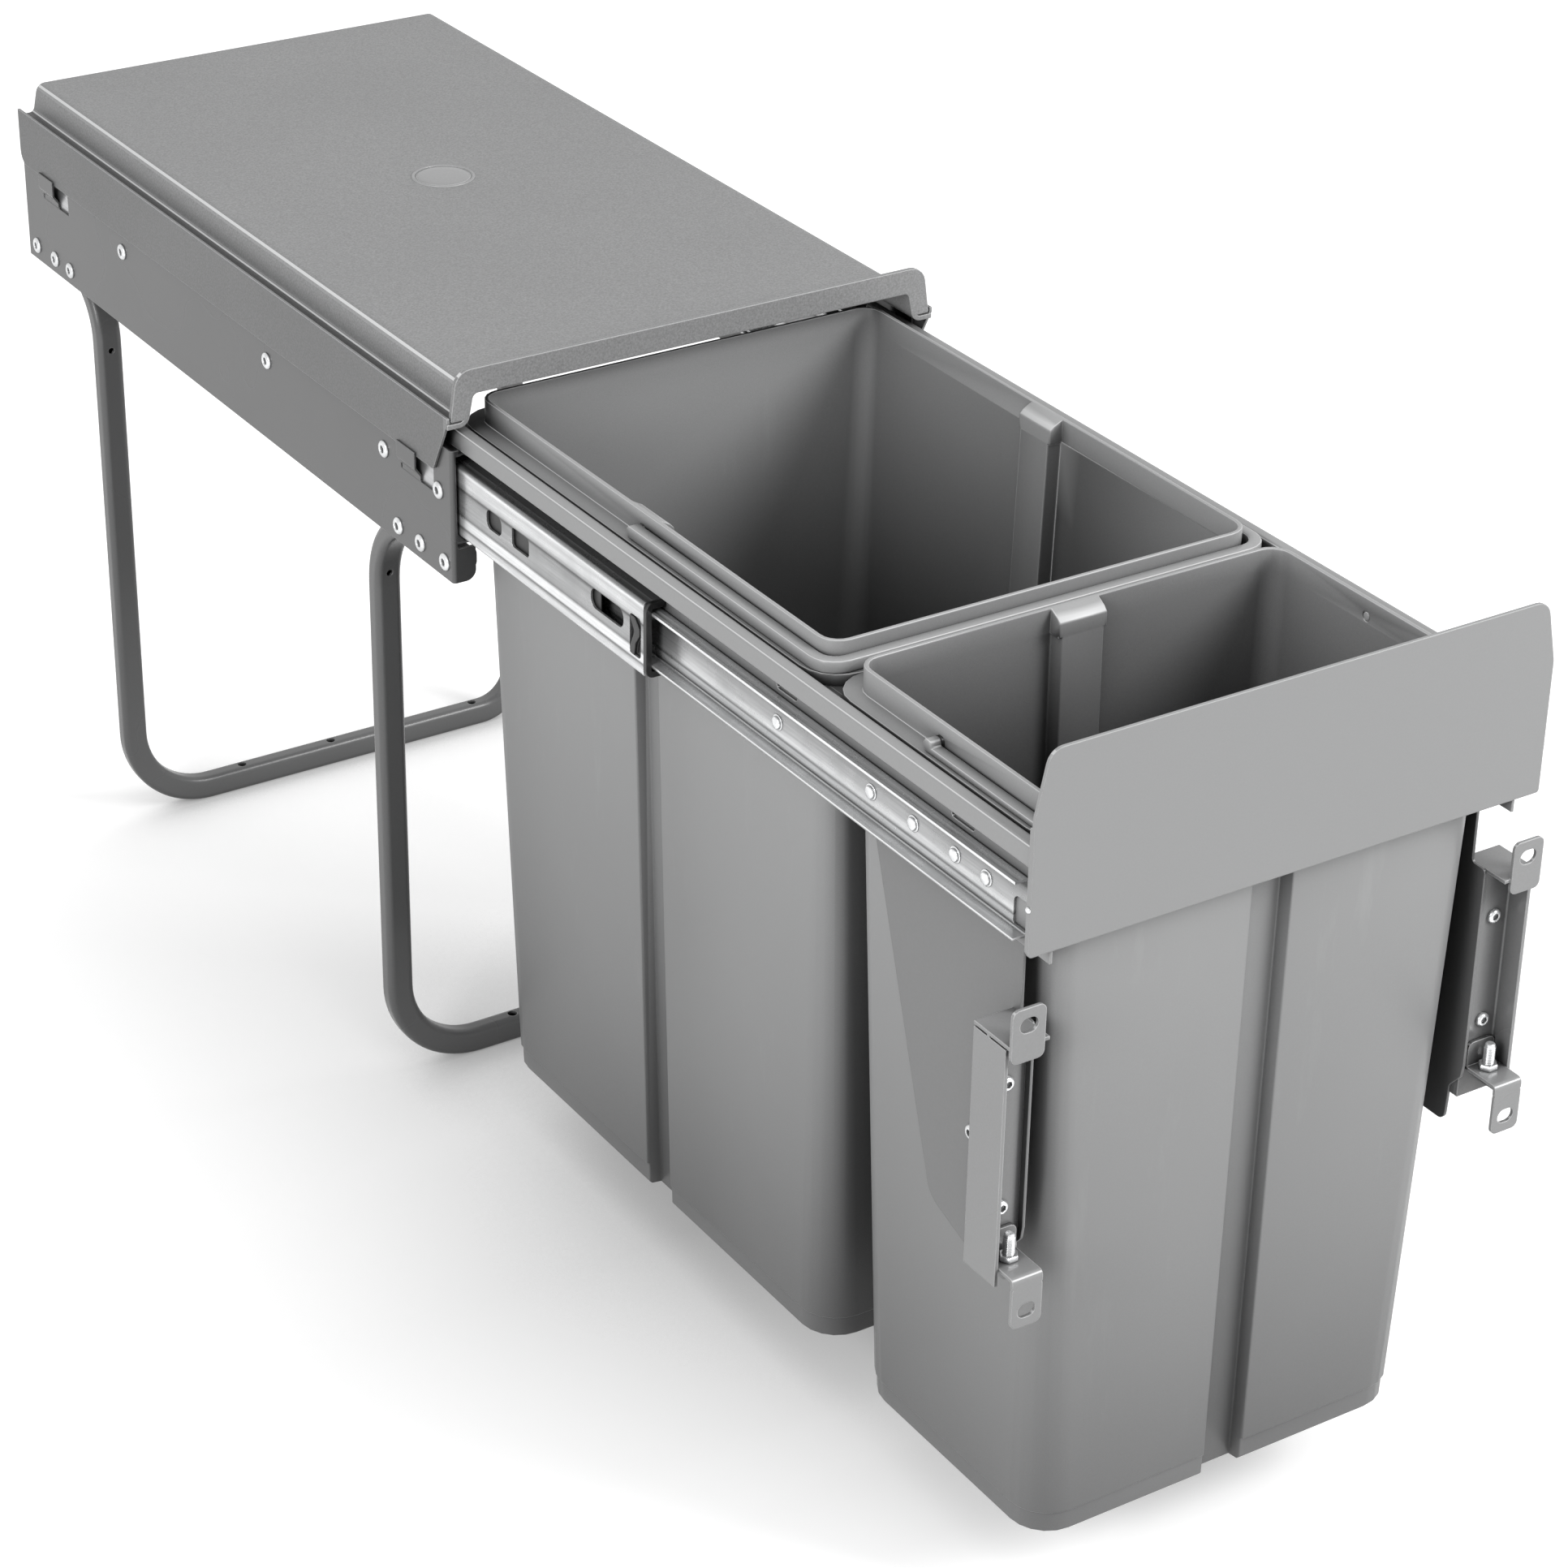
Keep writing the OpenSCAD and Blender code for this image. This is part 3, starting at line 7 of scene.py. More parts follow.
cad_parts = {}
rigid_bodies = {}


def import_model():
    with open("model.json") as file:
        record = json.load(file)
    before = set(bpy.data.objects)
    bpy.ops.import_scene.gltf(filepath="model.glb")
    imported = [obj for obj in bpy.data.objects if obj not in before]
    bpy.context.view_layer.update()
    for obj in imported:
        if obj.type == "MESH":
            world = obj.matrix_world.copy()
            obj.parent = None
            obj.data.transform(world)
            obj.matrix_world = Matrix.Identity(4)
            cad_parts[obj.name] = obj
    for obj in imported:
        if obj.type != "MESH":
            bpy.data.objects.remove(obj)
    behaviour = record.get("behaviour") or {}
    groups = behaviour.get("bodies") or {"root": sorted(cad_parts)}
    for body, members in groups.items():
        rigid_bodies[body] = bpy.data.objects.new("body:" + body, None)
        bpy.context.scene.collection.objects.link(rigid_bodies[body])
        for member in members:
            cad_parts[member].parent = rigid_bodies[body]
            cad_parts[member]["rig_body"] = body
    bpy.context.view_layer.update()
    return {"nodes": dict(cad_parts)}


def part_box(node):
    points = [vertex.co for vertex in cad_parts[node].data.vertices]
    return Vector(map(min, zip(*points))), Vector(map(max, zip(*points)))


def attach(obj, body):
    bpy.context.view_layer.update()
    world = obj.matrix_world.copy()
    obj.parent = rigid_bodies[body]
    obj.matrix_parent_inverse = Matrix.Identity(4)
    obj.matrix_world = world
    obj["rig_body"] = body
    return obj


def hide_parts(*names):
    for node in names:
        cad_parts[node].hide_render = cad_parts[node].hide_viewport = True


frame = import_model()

nodes = frame["nodes"]
mm = 0.001


# Objects and meshes

def addObject(name, data):
    made = bpy.data.objects.new(name, data)
    bpy.context.scene.collection.objects.link(made)
    return made


def applied(piece):
    # Works the piece's modifiers into a plain mesh of its own
    graph = bpy.context.evaluated_depsgraph_get()
    made = bpy.data.meshes.new_from_object(piece.evaluated_get(graph))
    piece.modifiers.clear()
    piece.data = made
    return made


def smoothed(mesh, sharpAngle):
    for face in mesh.polygons:
        face.use_smooth = True
    mesh.set_sharp_from_angle(angle=math.radians(sharpAngle))


# Shader helpers

black = (0, 0, 0, 1)

# What all surfaces share. Shares of openness, which set the painted shade, run from 0 in a closed
# corner to 1 in the open.
surface = {
    "bevelSamples": 6,
    "shadeSamples": 8,
    "closedAt": 0.05,
    "openAt": 0.95,
    # cosine between a rounded edge's normal and the face's own, over which the painted edge highlight
    # fades in
    "edgeCosine": (0.72, 0.97),
    # upward part of the normal at which a bend's painted highlight starts and ends
    "foldStart": (0.56, 0.66),
    "foldEnd": (0.88, 0.78),
}


def newMaterial(name):
    material = bpy.data.materials.new(name)
    material.use_nodes = True
    tree = material.node_tree
    tree.nodes.clear()
    return material, tree


def addNode(tree, kind, values=None, **settings):
    node = tree.nodes.new(kind)
    for key, value in settings.items():
        setattr(node, key, value)
    for key, value in (values or {}).items():
        if isinstance(value, bpy.types.NodeSocket):
            tree.links.new(value, node.inputs[key])
        else:
            node.inputs[key].default_value = value
    return node


def grey(level, tint=0.0):
    # sRGB level out of 255 as linear colour, with a touch of blue where tint is above 0
    value = level / 255
    linear = ((value + 0.055) / 1.055) ** 2.4
    return (linear * (1 - tint), linear, linear * (1 + tint), 1)


def noise(tree, place, scale, detail=2.0, roughness=0.5, stretch=None):
    if stretch:
        place = addNode(tree, "ShaderNodeMapping", {
            "Vector": place, "Scale": stretch}).outputs["Vector"]
    found = addNode(tree, "ShaderNodeTexNoise",
                    {"Vector": place, "Scale": scale, "Detail": detail, "Roughness": roughness})
    return found.outputs["Fac"]


def remap(tree, value, low, high, fromLow=0.3, fromHigh=0.7):
    found = addNode(tree, "ShaderNodeMapRange", {
        "Value": value, "From Min": fromLow, "From Max": fromHigh, "To Min": low, "To Max": high})
    return found.outputs["Result"]


def multiply(tree, a, b):
    found = addNode(tree, "ShaderNodeMath", {0: a, 1: b}, operation="MULTIPLY")
    return found.outputs["Value"]


def axisOf(tree, vector, axis):
    return addNode(tree, "ShaderNodeSeparateXYZ", {"Vector": vector}).outputs[axis]


def absolute(tree, value):
    return addNode(tree, "ShaderNodeMath", {0: value}, operation="ABSOLUTE").outputs["Value"]


def ownNormal(tree, axis):
    # One part of the face's normal in the object's own directions
    return axisOf(tree, addNode(tree, "ShaderNodeTexCoord").outputs["Normal"], axis)


def roundedNormal(tree, radius):
    # Rounds the look of a sheet's cut edges
    samples = surface["bevelSamples"]
    return addNode(tree, "ShaderNodeBevel", {"Radius": radius}, samples=samples).outputs["Normal"]


def edgeHighlightMask(tree, rounded):
    # Mask of the painted edge highlight: 1 along edges, 0 on open faces
    plain = addNode(tree, "ShaderNodeNewGeometry").outputs["Normal"]
    dot = addNode(tree, "ShaderNodeVectorMath", {0: rounded, 1: plain}, operation="DOT_PRODUCT")
    return remap(tree, dot.outputs["Value"], 1.0, 0.0, *surface["edgeCosine"])


def mixColors(tree, factor, first, second):
    found = addNode(tree, "ShaderNodeMix", data_type="RGBA")
    for name, value in (("Factor", factor), (6, first), (7, second)):
        if isinstance(value, bpy.types.NodeSocket):
            tree.links.new(value, found.inputs[name])
        else:
            found.inputs[name].default_value = value
    return found.outputs[2]


def darkened(tree, color, share):
    # The colour at a share of its level
    return mixColors(tree, share, black, color)


def scaled(color, by):
    return tuple(min(1.0, c * by) for c in color[:3]) + (1,)


def finishSurface(tree, color, roughness, normal, metallic=0.0):
    shader = addNode(tree, "ShaderNodeBsdfPrincipled", {
        "Base Color": color, "Roughness": roughness, "Normal": normal, "Metallic": metallic})
    out = addNode(tree, "ShaderNodeOutputMaterial")
    tree.links.new(shader.outputs["BSDF"], out.inputs["Surface"])


def ramp(tree, value, stops):
    # stops: (place, level) pairs
    found = addNode(tree, "ShaderNodeValToRGB", {"Fac": value})
    points = found.color_ramp.elements
    while len(points) < len(stops):
        points.new(0.5)
    for point, (place, level) in zip(points, stops):
        point.position = place
        point.color = (level, level, level, 1)
    return found.outputs["Color"]


def openness(tree, reach, samples):
    near = addNode(tree, "ShaderNodeAmbientOcclusion", {"Distance": reach}, samples=samples)
    return near.outputs["AO"]


def shaded(tree, color, depth, reach, openAt=surface["openAt"]):
    # Painted shade: the colour darker where other surfaces stand within reach
    near = openness(tree, reach, surface["shadeSamples"])
    return darkened(tree, color, remap(tree, near, 1 - depth, 1.0, surface["closedAt"], openAt))


def foldHighlightMask(tree):
    # Mask of the painted bend highlight: 1 along the bends between level and upright faces
    steep = absolute(tree, ownNormal(tree, "Z"))
    starts = remap(tree, steep, 0.0, 1.0, *surface["foldStart"])
    return multiply(tree, starts, remap(tree, steep, 0.0, 1.0, *surface["foldEnd"]))


# What all coats and plastics share. Noises: scale per metre, detail and roughness. Levels: shares of
# the base level.
coat = {
    "tint": 0.006,
    "grainNoise": (3.0, 0.6),
    "cloudNoise": (9, 2.0, 0.5),
    "cloudDepth": 0.16,
    "cloudLevel": 1.12,
    "scuffNoise": (45, 5.0, 0.72, (1, 1, 0.18)),
    "scuffRange": (0.6, 0.75),
    "scuffLevel": 1.35,
    "edgeRadius": 0.0008,
    # reach of the painted shade in grooves
    "grooveShadeReach": 0.012,
    # forward part of the normal on faces that look to the front, over which the painted shade sets in
    "frontShadeRange": (-0.95, -0.7),
    "bump": 0.6,
    "smoother": 0.04,
    "rougher": 0.05,
}


def coated(name, level, roughness, edge, foldHighlight=1.8, grain=1100, grainDepth=0.000012, mottle=0.03,
           depth=0.5, reach=0.02, openAt=surface["openAt"], scuff=0.0, shadeZones=None, footShade=None,
           front=1.0, grooveShade=0.0):
    # Powder coat or moulded plastic: fine grain, faint cloudiness and scuffs, with painted shade in
    # corners, grooves, across the lid's width, on front faces and towards the foot, and painted
    # highlights along edges and bends
    material, tree = newMaterial(name)
    place = addNode(tree, "ShaderNodeTexCoord").outputs["Object"]
    base = grey(level, coat["tint"])
    fine = noise(tree, place, grain, *coat["grainNoise"])
    cloud = noise(tree, place, *coat["cloudNoise"])
    grains = remap(tree, fine, 0.0, 1.0)
    color = mixColors(tree, grains, scaled(base, 1 - mottle), scaled(base, 1 + mottle))
    clouds = remap(tree, cloud, 0.0, coat["cloudDepth"])
    color = mixColors(tree, clouds, color, scaled(base, coat["cloudLevel"]))
    if scuff:
        marks = remap(tree, noise(tree, place, *coat["scuffNoise"]), 0.0, scuff, *coat["scuffRange"])
        color = mixColors(tree, marks, color, scaled(base, coat["scuffLevel"]))
    # painted shade across the piece, as the given map sets it
    if shadeZones:
        color = darkened(tree, color, shadeZones(tree, place))
    if footShade:
        # painted shade towards the foot: share at the foot, and the heights between which it rises to
        # 1
        share, foot, top = footShade
        color = darkened(tree, color, remap(tree, axisOf(tree, place, "Z"), share, 1.0, foot, top))
    # painted shade on faces that look to the front
    if front < 1:
        frontShadeShare = remap(tree, ownNormal(tree, "Y"), front, 1.0, *coat["frontShadeRange"])
        color = darkened(tree, color, frontShadeShare)
    rounded = roundedNormal(tree, coat["edgeRadius"])
    # painted shade where other surfaces are near
    color = shaded(tree, color, depth, reach, openAt)
    # painted shade in grooves
    if grooveShade:
        color = shaded(tree, color, grooveShade, coat["grooveShadeReach"])
    # painted highlight along bends
    color = mixColors(tree, foldHighlightMask(tree), color, scaled(base, foldHighlight))
    # painted highlight along edges
    color = mixColors(tree, edgeHighlightMask(tree, rounded), color, scaled(base, edge))
    bump = addNode(tree, "ShaderNodeBump", {
        "Height": fine, "Distance": grainDepth, "Strength": coat["bump"], "Normal": rounded})
    rough = remap(tree, cloud, roughness - coat["smoother"], roughness + coat["rougher"])
    finishSurface(tree, color, rough, bump.outputs["Normal"])
    return material


lidSection = {
    # painted shade across the lid, metres from the lid's middle line, between which the stops lie:
    # wall, gutter, rib and skirt
    "across": (0.110, 0.130),
    "stops": [
        (0.0, 0.96), (0.3, 0.96), (0.36, 1.0), (0.46, 0.9), (0.49, 0.42), (0.8, 0.42),
        (0.835, 1.0), (0.885, 1.0), (0.9, 0.6), (1.0, 0.6)],
    # where the front lip gives way to that section
    "behindLip": (-0.0096, -0.0088),
    "lipLevel": (0.96, 0.96, 0.96, 1),
}


def lidPaintedShade(tree, place):
    # Painted shade across the lid's width: share of the lid's level
    side = remap(tree, absolute(tree, axisOf(tree, place, "X")), 0.0, 1.0, *lidSection["across"])
    behind = remap(tree, axisOf(tree, place, "Y"), 0.0, 1.0, *lidSection["behindLip"])
    return mixColors(tree, behind, lidSection["lipLevel"], ramp(tree, side, lidSection["stops"]))


# What all plated steel shares, in the same terms
zinc = {
    "tint": 0.01,
    "streakNoise": (3.0, 0.65),
    "streakLevels": (0.82, 1.12),
    "patchNoise": (60, 4.0, 0.6),
    "patchShare": 0.6,
    "patchRange": (0.45, 0.7),
    "edgeRadius": 0.0004,
    "edgeHighlightLevel": 1.2,
    "bump": 0.5,
    "smoother": 0.06,
    "rougher": 0.14,
}

evenly = (1, 1, 1)


def plated(name, level, roughness, metallic=1.0, streak=(1, 0.03, 1), grain=900, depth=0.000012,
           patchLevel=0.7, bands=None, heights=None, shadeDepth=0.5, reach=0.008):
    # Drawn streaks along the rolling direction and dull patches, with painted edge highlights,
    # painted shade where other surfaces are near and, on the rails, painted highlight and shade
    # across the rolled profile
    material, tree = newMaterial(name)
    place = addNode(tree, "ShaderNodeTexCoord").outputs["Object"]
    base = grey(level, zinc["tint"])
    streaks = noise(tree, place, grain, *zinc["streakNoise"], streak)
    patches = noise(tree, place, *zinc["patchNoise"])
    dull, bright = (scaled(base, by) for by in zinc["streakLevels"])
    color = mixColors(tree, remap(tree, streaks, 0.0, 1.0), dull, bright)
    worn = remap(tree, patches, 0.0, zinc["patchShare"], *zinc["patchRange"])
    color = mixColors(tree, worn, color, scaled(base, patchLevel))
    rounded = roundedNormal(tree, zinc["edgeRadius"])
    # painted highlight along edges
    color = mixColors(tree, edgeHighlightMask(tree, rounded), color, scaled(base, zinc["edgeHighlightLevel"]))
    # painted highlight and shade across the rail's rolled profile
    if bands:
        across = remap(tree, axisOf(tree, place, "Z"), 0.0, 1.0, *heights)
        color = darkened(tree, color, ramp(tree, across, bands))
    # painted shade where other surfaces are near
    color = shaded(tree, color, shadeDepth, reach)
    bump = addNode(tree, "ShaderNodeBump", {
        "Height": streaks, "Distance": depth, "Strength": zinc["bump"], "Normal": rounded})
    rough = remap(tree, patches, roughness - zinc["smoother"], roughness + zinc["rougher"])
    finishSurface(tree, color, rough, bump.outputs["Normal"], metallic)
    return material


# Painted highlight and shade across the rolled profile, from the rail's lower edge to its upper:
# place, share of the metal's own level
middleLightBands = [
    (0.0, 0.3), (0.03, 0.9), (0.12, 0.75), (0.17, 0.2), (0.2, 1.0), (0.29, 1.0), (0.33, 0.25),
    (0.37, 0.42), (0.5, 0.48), (0.66, 0.36), (0.7, 0.1), (0.73, 0.5), (0.8, 0.8), (0.9, 0.7),
    (0.95, 1.0), (0.975, 0.35), (1.0, 0.2)]
innerLightBands = [
    (0.0, 0.2), (0.04, 1.0), (0.08, 0.12), (0.14, 1.0), (0.2, 1.0), (0.24, 0.3), (0.3, 0.85),
    (0.45, 0.5), (0.62, 0.4), (0.78, 0.28), (0.86, 0.06), (0.93, 0.08), (0.96, 1.0), (1.0, 1.0)]

lidPaint = coated("lid grain coat", 134, 0.46, edge=2.6, foldHighlight=2.7, grainDepth=0.00007, mottle=0.24,
                  depth=0.55, reach=0.012, shadeZones=lidPaintedShade)
platePaint = coated("side plate coat", 90, 0.28, edge=2.8, depth=0.9, reach=0.06, front=0.65)
legPaint = coated("leg coat", 96, 0.26, edge=1.7, foldHighlight=1.0)
carrierPaint = coated("carrier coat", 146, 0.3, edge=2.2, foldHighlight=2.0, depth=0.95, reach=0.016)
panelPaint = coated("front panel coat", 144, 0.34, edge=1.9, mottle=0.02, depth=0.3)
armPaint = coated("door arm coat", 118, 0.38, edge=1.9, depth=0.9, reach=0.04)
bracketPaint = coated("door bracket coat", 140, 0.26, edge=2.4, grainDepth=0.00001, depth=0.95,
                      reach=0.024)
badgePaint = coated("badge seat coat", 142, 0.26, edge=2.0, foldHighlight=1.2, grainDepth=0.00001,
                    mottle=0.05, depth=0.9, reach=0.004)
binPlastic = coated("bin plastic", 153, 0.4, edge=1.7, foldHighlight=1.7, grain=1700, grainDepth=0.000018,
                    mottle=0.025, depth=0.95, reach=0.24, openAt=0.78, scuff=0.25,
                    footShade=(0.6, 0.03, 0.3), grooveShade=0.4)
handlePlastic = coated("handle plastic", 150, 0.3, edge=1.9, grainDepth=0.00001, depth=0.8,
                       reach=0.006)
latchPlastic = coated("latch plastic", 26, 0.34, edge=3.0, grainDepth=0.00001, mottle=0.05)
cagePlastic = coated("cage plastic", 50, 0.45, edge=1.6, grainDepth=0.00001, mottle=0.05)
middleZinc = plated("middle slide zinc", 238, 0.25, metallic=0.65, depth=0.000006, patchLevel=0.84,
                    bands=middleLightBands, heights=(0.3263, 0.3607))
innerZinc = plated("inner slide zinc", 242, 0.22, metallic=0.65, depth=0.000006, patchLevel=0.84,
                   bands=innerLightBands, heights=(0.3309, 0.3561), shadeDepth=0.8, reach=0.012)
outerZinc = plated("outer slide zinc", 190, 0.3, metallic=0.8)
rivetZinc = plated("rivet zinc", 232, 0.22, metallic=0.7, streak=evenly, grain=500, shadeDepth=0.95,
                   reach=0.003)
ballSteel = plated("ball steel", 225, 0.1, streak=evenly, grain=300, depth=0.000002)


def dress(material, *names):
    for name in names:
        slots = nodes[name].data.materials
        if slots:
            for i in range(len(slots)):
                slots[i] = material
        else:
            slots.append(material)


def bothSides(*names):
    return [side + name for name in names for side in ("left_", "right_")]


dress(lidPaint, "lid")
dress(badgePaint, "lid_badge")
dress(platePaint, *bothSides("side_plate"))
dress(legPaint, "front_leg", "rear_leg")
dress(rivetZinc, "frame_rivets", "panel_screws", "rail_rivets", "bracket_screws",
      *bothSides("adjusting_screw", "outer_cage"))
dress(outerZinc, *bothSides("outer_rail"))
dress(middleZinc, *bothSides("middle_rail"))
dress(innerZinc, *bothSides("inner_rail"))
dress(latchPlastic, *bothSides("rail_latch"))
dress(cagePlastic, *bothSides("inner_cage"))
dress(ballSteel, *bothSides("outer_balls", "inner_balls"))
dress(carrierPaint, "rear_bar", "middle_bar", "front_bar",
      *bothSides("carrier_rail", "bin_support"))
dress(panelPaint, "front_panel")
dress(armPaint, *bothSides("door_arm"))
dress(bracketPaint, *bothSides("door_bracket", "lower_bracket"))
dress(binPlastic, "large_bin", "small_bin")
dress(handlePlastic, "large_handle", "small_handle")
print("CAD nodes dressed")


# Refined copies of moulded pieces: rounded edges and smooth bends

moulded = {
    # metres and degrees below which points and faces are merged
    "weld": 0.00002,
    "flat": 0.6,
    "segments": 2,
    "sharpAngle": 30,
    # node, slot, material, rounding in metres
    "pieces": [
        ("large_bin", "bin_plastic", binPlastic, 0.0005),
        ("small_bin", "bin_plastic", binPlastic, 0.0005),
        ("large_handle", "handle_plastic", handlePlastic, 0.0007),
        ("small_handle", "handle_plastic", handlePlastic, 0.0007),
    ],
}


def refined(node, material, width, conf):
    name = node + "_moulded"
    mesh = nodes[node].data.copy()
    mesh.name = name
    work = bmesh.new()
    work.from_mesh(mesh)
    bmesh.ops.remove_doubles(work, verts=work.verts, dist=conf["weld"])
    bmesh.ops.dissolve_limit(work, angle_limit=math.radians(conf["flat"]), verts=work.verts,
                             edges=work.edges)
    work.to_mesh(mesh)
    work.free()
    piece = addObject(name, mesh)
    bevel = piece.modifiers.new("edges", "BEVEL")
    bevel.width = width
    bevel.segments = conf["segments"]
    bevel.limit_method = "ANGLE"
    bevel.angle_limit = math.radians(conf["sharpAngle"])
    bevel.harden_normals = False
    bevel.use_clamp_overlap = False
    triangles = piece.modifiers.new("triangles", "TRIANGULATE")
    triangles.keep_custom_normals = True
    made = applied(piece)
    made.materials.clear()
    made.materials.append(material)
    smoothed(made, conf["sharpAngle"])
    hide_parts(node)
    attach(piece, nodes[node]["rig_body"])


for node, slot, material, width in moulded["pieces"]:
    refined(node, material, width, moulded)
print("bins and handles rounded")


# Turned forms: rivets, screws, threads and the badge seat

turnedSharp = 38


def lathe(name, profile, steps, hexRings=(1, 0)):
    # profile: (radius, height) pairs in mm. The rings from hexRings' first to its last are six-sided.
    work = bmesh.new()
    rings = []
    for i, (radius, height) in enumerate(profile):
        if radius == 0:
            rings.append([work.verts.new((0, 0, height * mm))])
            continue
        ring = []
        for k in range(steps):
            angle = 2 * math.pi * k / steps
            r = radius
            if hexRings[0] <= i <= hexRings[1]:
                r *= math.cos(math.pi / 6) / math.cos(angle % (math.pi / 3) - math.pi / 6)
            ring.append(work.verts.new((r * mm * math.cos(angle), r * mm * math.sin(angle),
                                        height * mm)))
        rings.append(ring)
    for low, high in zip(rings, rings[1:]):
        for k in range(steps):
            n = (k + 1) % steps
            if len(low) == 1 and len(high) == 1:
                continue
            if len(low) == 1:
                work.faces.new((low[0], high[n], high[k]))
            elif len(high) == 1:
                work.faces.new((low[k], low[n], high[0]))
            else:
                work.faces.new((low[k], low[n], high[n], high[k]))
    bmesh.ops.recalc_face_normals(work, faces=work.faces)
    mesh = bpy.data.meshes.new(name)
    work.to_mesh(mesh)
    work.free()
    smoothed(mesh, turnedSharp)
    return mesh


def loosePieces(node):
    # The low and high corners of each loose piece of a CAD node
    work = bmesh.new()
    work.from_mesh(nodes[node].data)
    bmesh.ops.remove_doubles(work, verts=work.verts, dist=0.01 * mm)
    left = set(work.verts)
    found = []
    while left:
        stack = [left.pop()]
        held = []
        while stack:
            vert = stack.pop()
            held.append(vert.co.copy())
            for link in vert.link_edges:
                other = link.other_vert(vert)
                if other in left:
                    left.remove(other)
                    stack.append(other)
        low = Vector(min(point[i] for point in held) for i in range(3))
        high = Vector(max(point[i] for point in held) for i in range(3))
        found.append((low, high))
    work.free()
    return sorted(found, key=lambda box: tuple(box[0]))


def headRowTree():
    # Sets one head on each place, aimed outwards and turned at random about its own axis
    tree = bpy.data.node_groups.new("head rows", "GeometryNodeTree")
    sockets = {}
    for name, kind in (("Places", "NodeSocketGeometry"), ("Head", "NodeSocketObject"),
                       ("Finish", "NodeSocketMaterial"), ("Seed", "NodeSocketInt")):
        sockets[name] = tree.interface.new_socket(name, in_out="INPUT", socket_type=kind).identifier
    tree.interface.new_socket("Heads", in_out="OUTPUT", socket_type="NodeSocketGeometry")
    given = tree.nodes.new("NodeGroupInput")
    result = tree.nodes.new("NodeGroupOutput")
    head = addNode(tree, "GeometryNodeObjectInfo", {"Object": given.outputs["Head"]})
    aim = addNode(tree, "GeometryNodeInputNamedAttribute", {"Name": "aim"}, data_type="FLOAT_VECTOR")
    turn = addNode(tree, "FunctionNodeAlignRotationToVector", {"Vector": aim.outputs["Attribute"]},
                   axis="Z")
    placed = addNode(tree, "GeometryNodeInstanceOnPoints", {
        "Points": given.outputs["Places"], "Instance": head.outputs["Geometry"],
        "Rotation": turn.outputs["Rotation"]})
    spin = addNode(tree, "FunctionNodeRandomValue", {"Seed": given.outputs["Seed"]},
                   data_type="FLOAT")
    spin.inputs[3].default_value = 2 * math.pi
    around = addNode(tree, "ShaderNodeCombineXYZ", {"Z": spin.outputs[1]})
    spun = addNode(tree, "GeometryNodeRotateInstances", {
        "Instances": placed.outputs["Instances"], "Rotation": around.outputs["Vector"],
        "Local Space": True})
    real = addNode(tree, "GeometryNodeRealizeInstances", {"Geometry": spun.outputs["Instances"]})
    finished = addNode(tree, "GeometryNodeSetMaterial", {
        "Geometry": real.outputs["Geometry"], "Material": given.outputs["Finish"]})
    tree.links.new(finished.outputs["Geometry"], result.inputs["Heads"])
    return tree, sockets


heads = {
    "seed": 7,
    "steps": 32,
    # a loose piece shorter than this across the frame looks sideways, a longer one to the front
    "shortest": 5.0,
    # radius and height pairs in mm, from the shank to the middle of the head
    "pierced": [
        (0, -2.2), (2.3, -2.2), (2.3, 0), (4.1, 0), (4.15, 0.3), (3.95, 0.8), (3.4, 1.25),
        (2.6, 1.5), (2.1, 1.5), (1.75, 1.25), (1.6, 0.6), (1.5, -0.5), (1.1, -0.7), (0, -0.75)],
    "shouldered": [
        (0, -3.0), (2.3, -3.0), (2.3, 0), (3.5, 0), (3.5, 0.25), (3.3, 0.35), (2.7, 0.4),
        (2.6, 0.55), (2.8, 0.8), (2.5, 1.3), (1.6, 1.55), (0, 1.6)],
    "edge": [
        (0, -1.1), (0.75, -1.1), (0.75, 0), (1.35, 0), (1.35, 0.3), (1.1, 0.75), (0.6, 1.05),
        (0, 1.1)],
    "socket": [
        (0, -2.2), (2.0, -2.2), (2.0, 0), (3.2, 0), (3.25, 0.4), (3.0, 1.3), (2.4, 1.85),
        (1.95, 1.95), (1.6, 1.9), (1.5, 0.6), (0, 0.5)],
    "sixSided": {"socket": (8, 9)},
    # node, form, height of the head in mm
    "rows": [
        ("frame_rivets", "pierced", 1.6),
        ("rail_rivets", "shouldered", 1.6),
        ("panel_screws", "edge", 1.1),
        ("bracket_screws", "socket", 2.0),
    ],
}


def headPlaces(node, height, shortest):
    # Where each loose piece's head stands on its sheet, and the way it looks
    points, aims = [], []
    for low, high in loosePieces(node):
        middle = (low + high) / 2
        side = 1 if middle.x > 0 else -1
        if high.x - low.x < shortest:
            tip = high.x if side > 0 else low.x
            points.append((tip - side * height, middle.y, middle.z))
            aims.append((side, 0, 0))
        else:
            points.append((middle.x, low.y + height, middle.z))
            aims.append((0, -1, 0))
    return points, aims


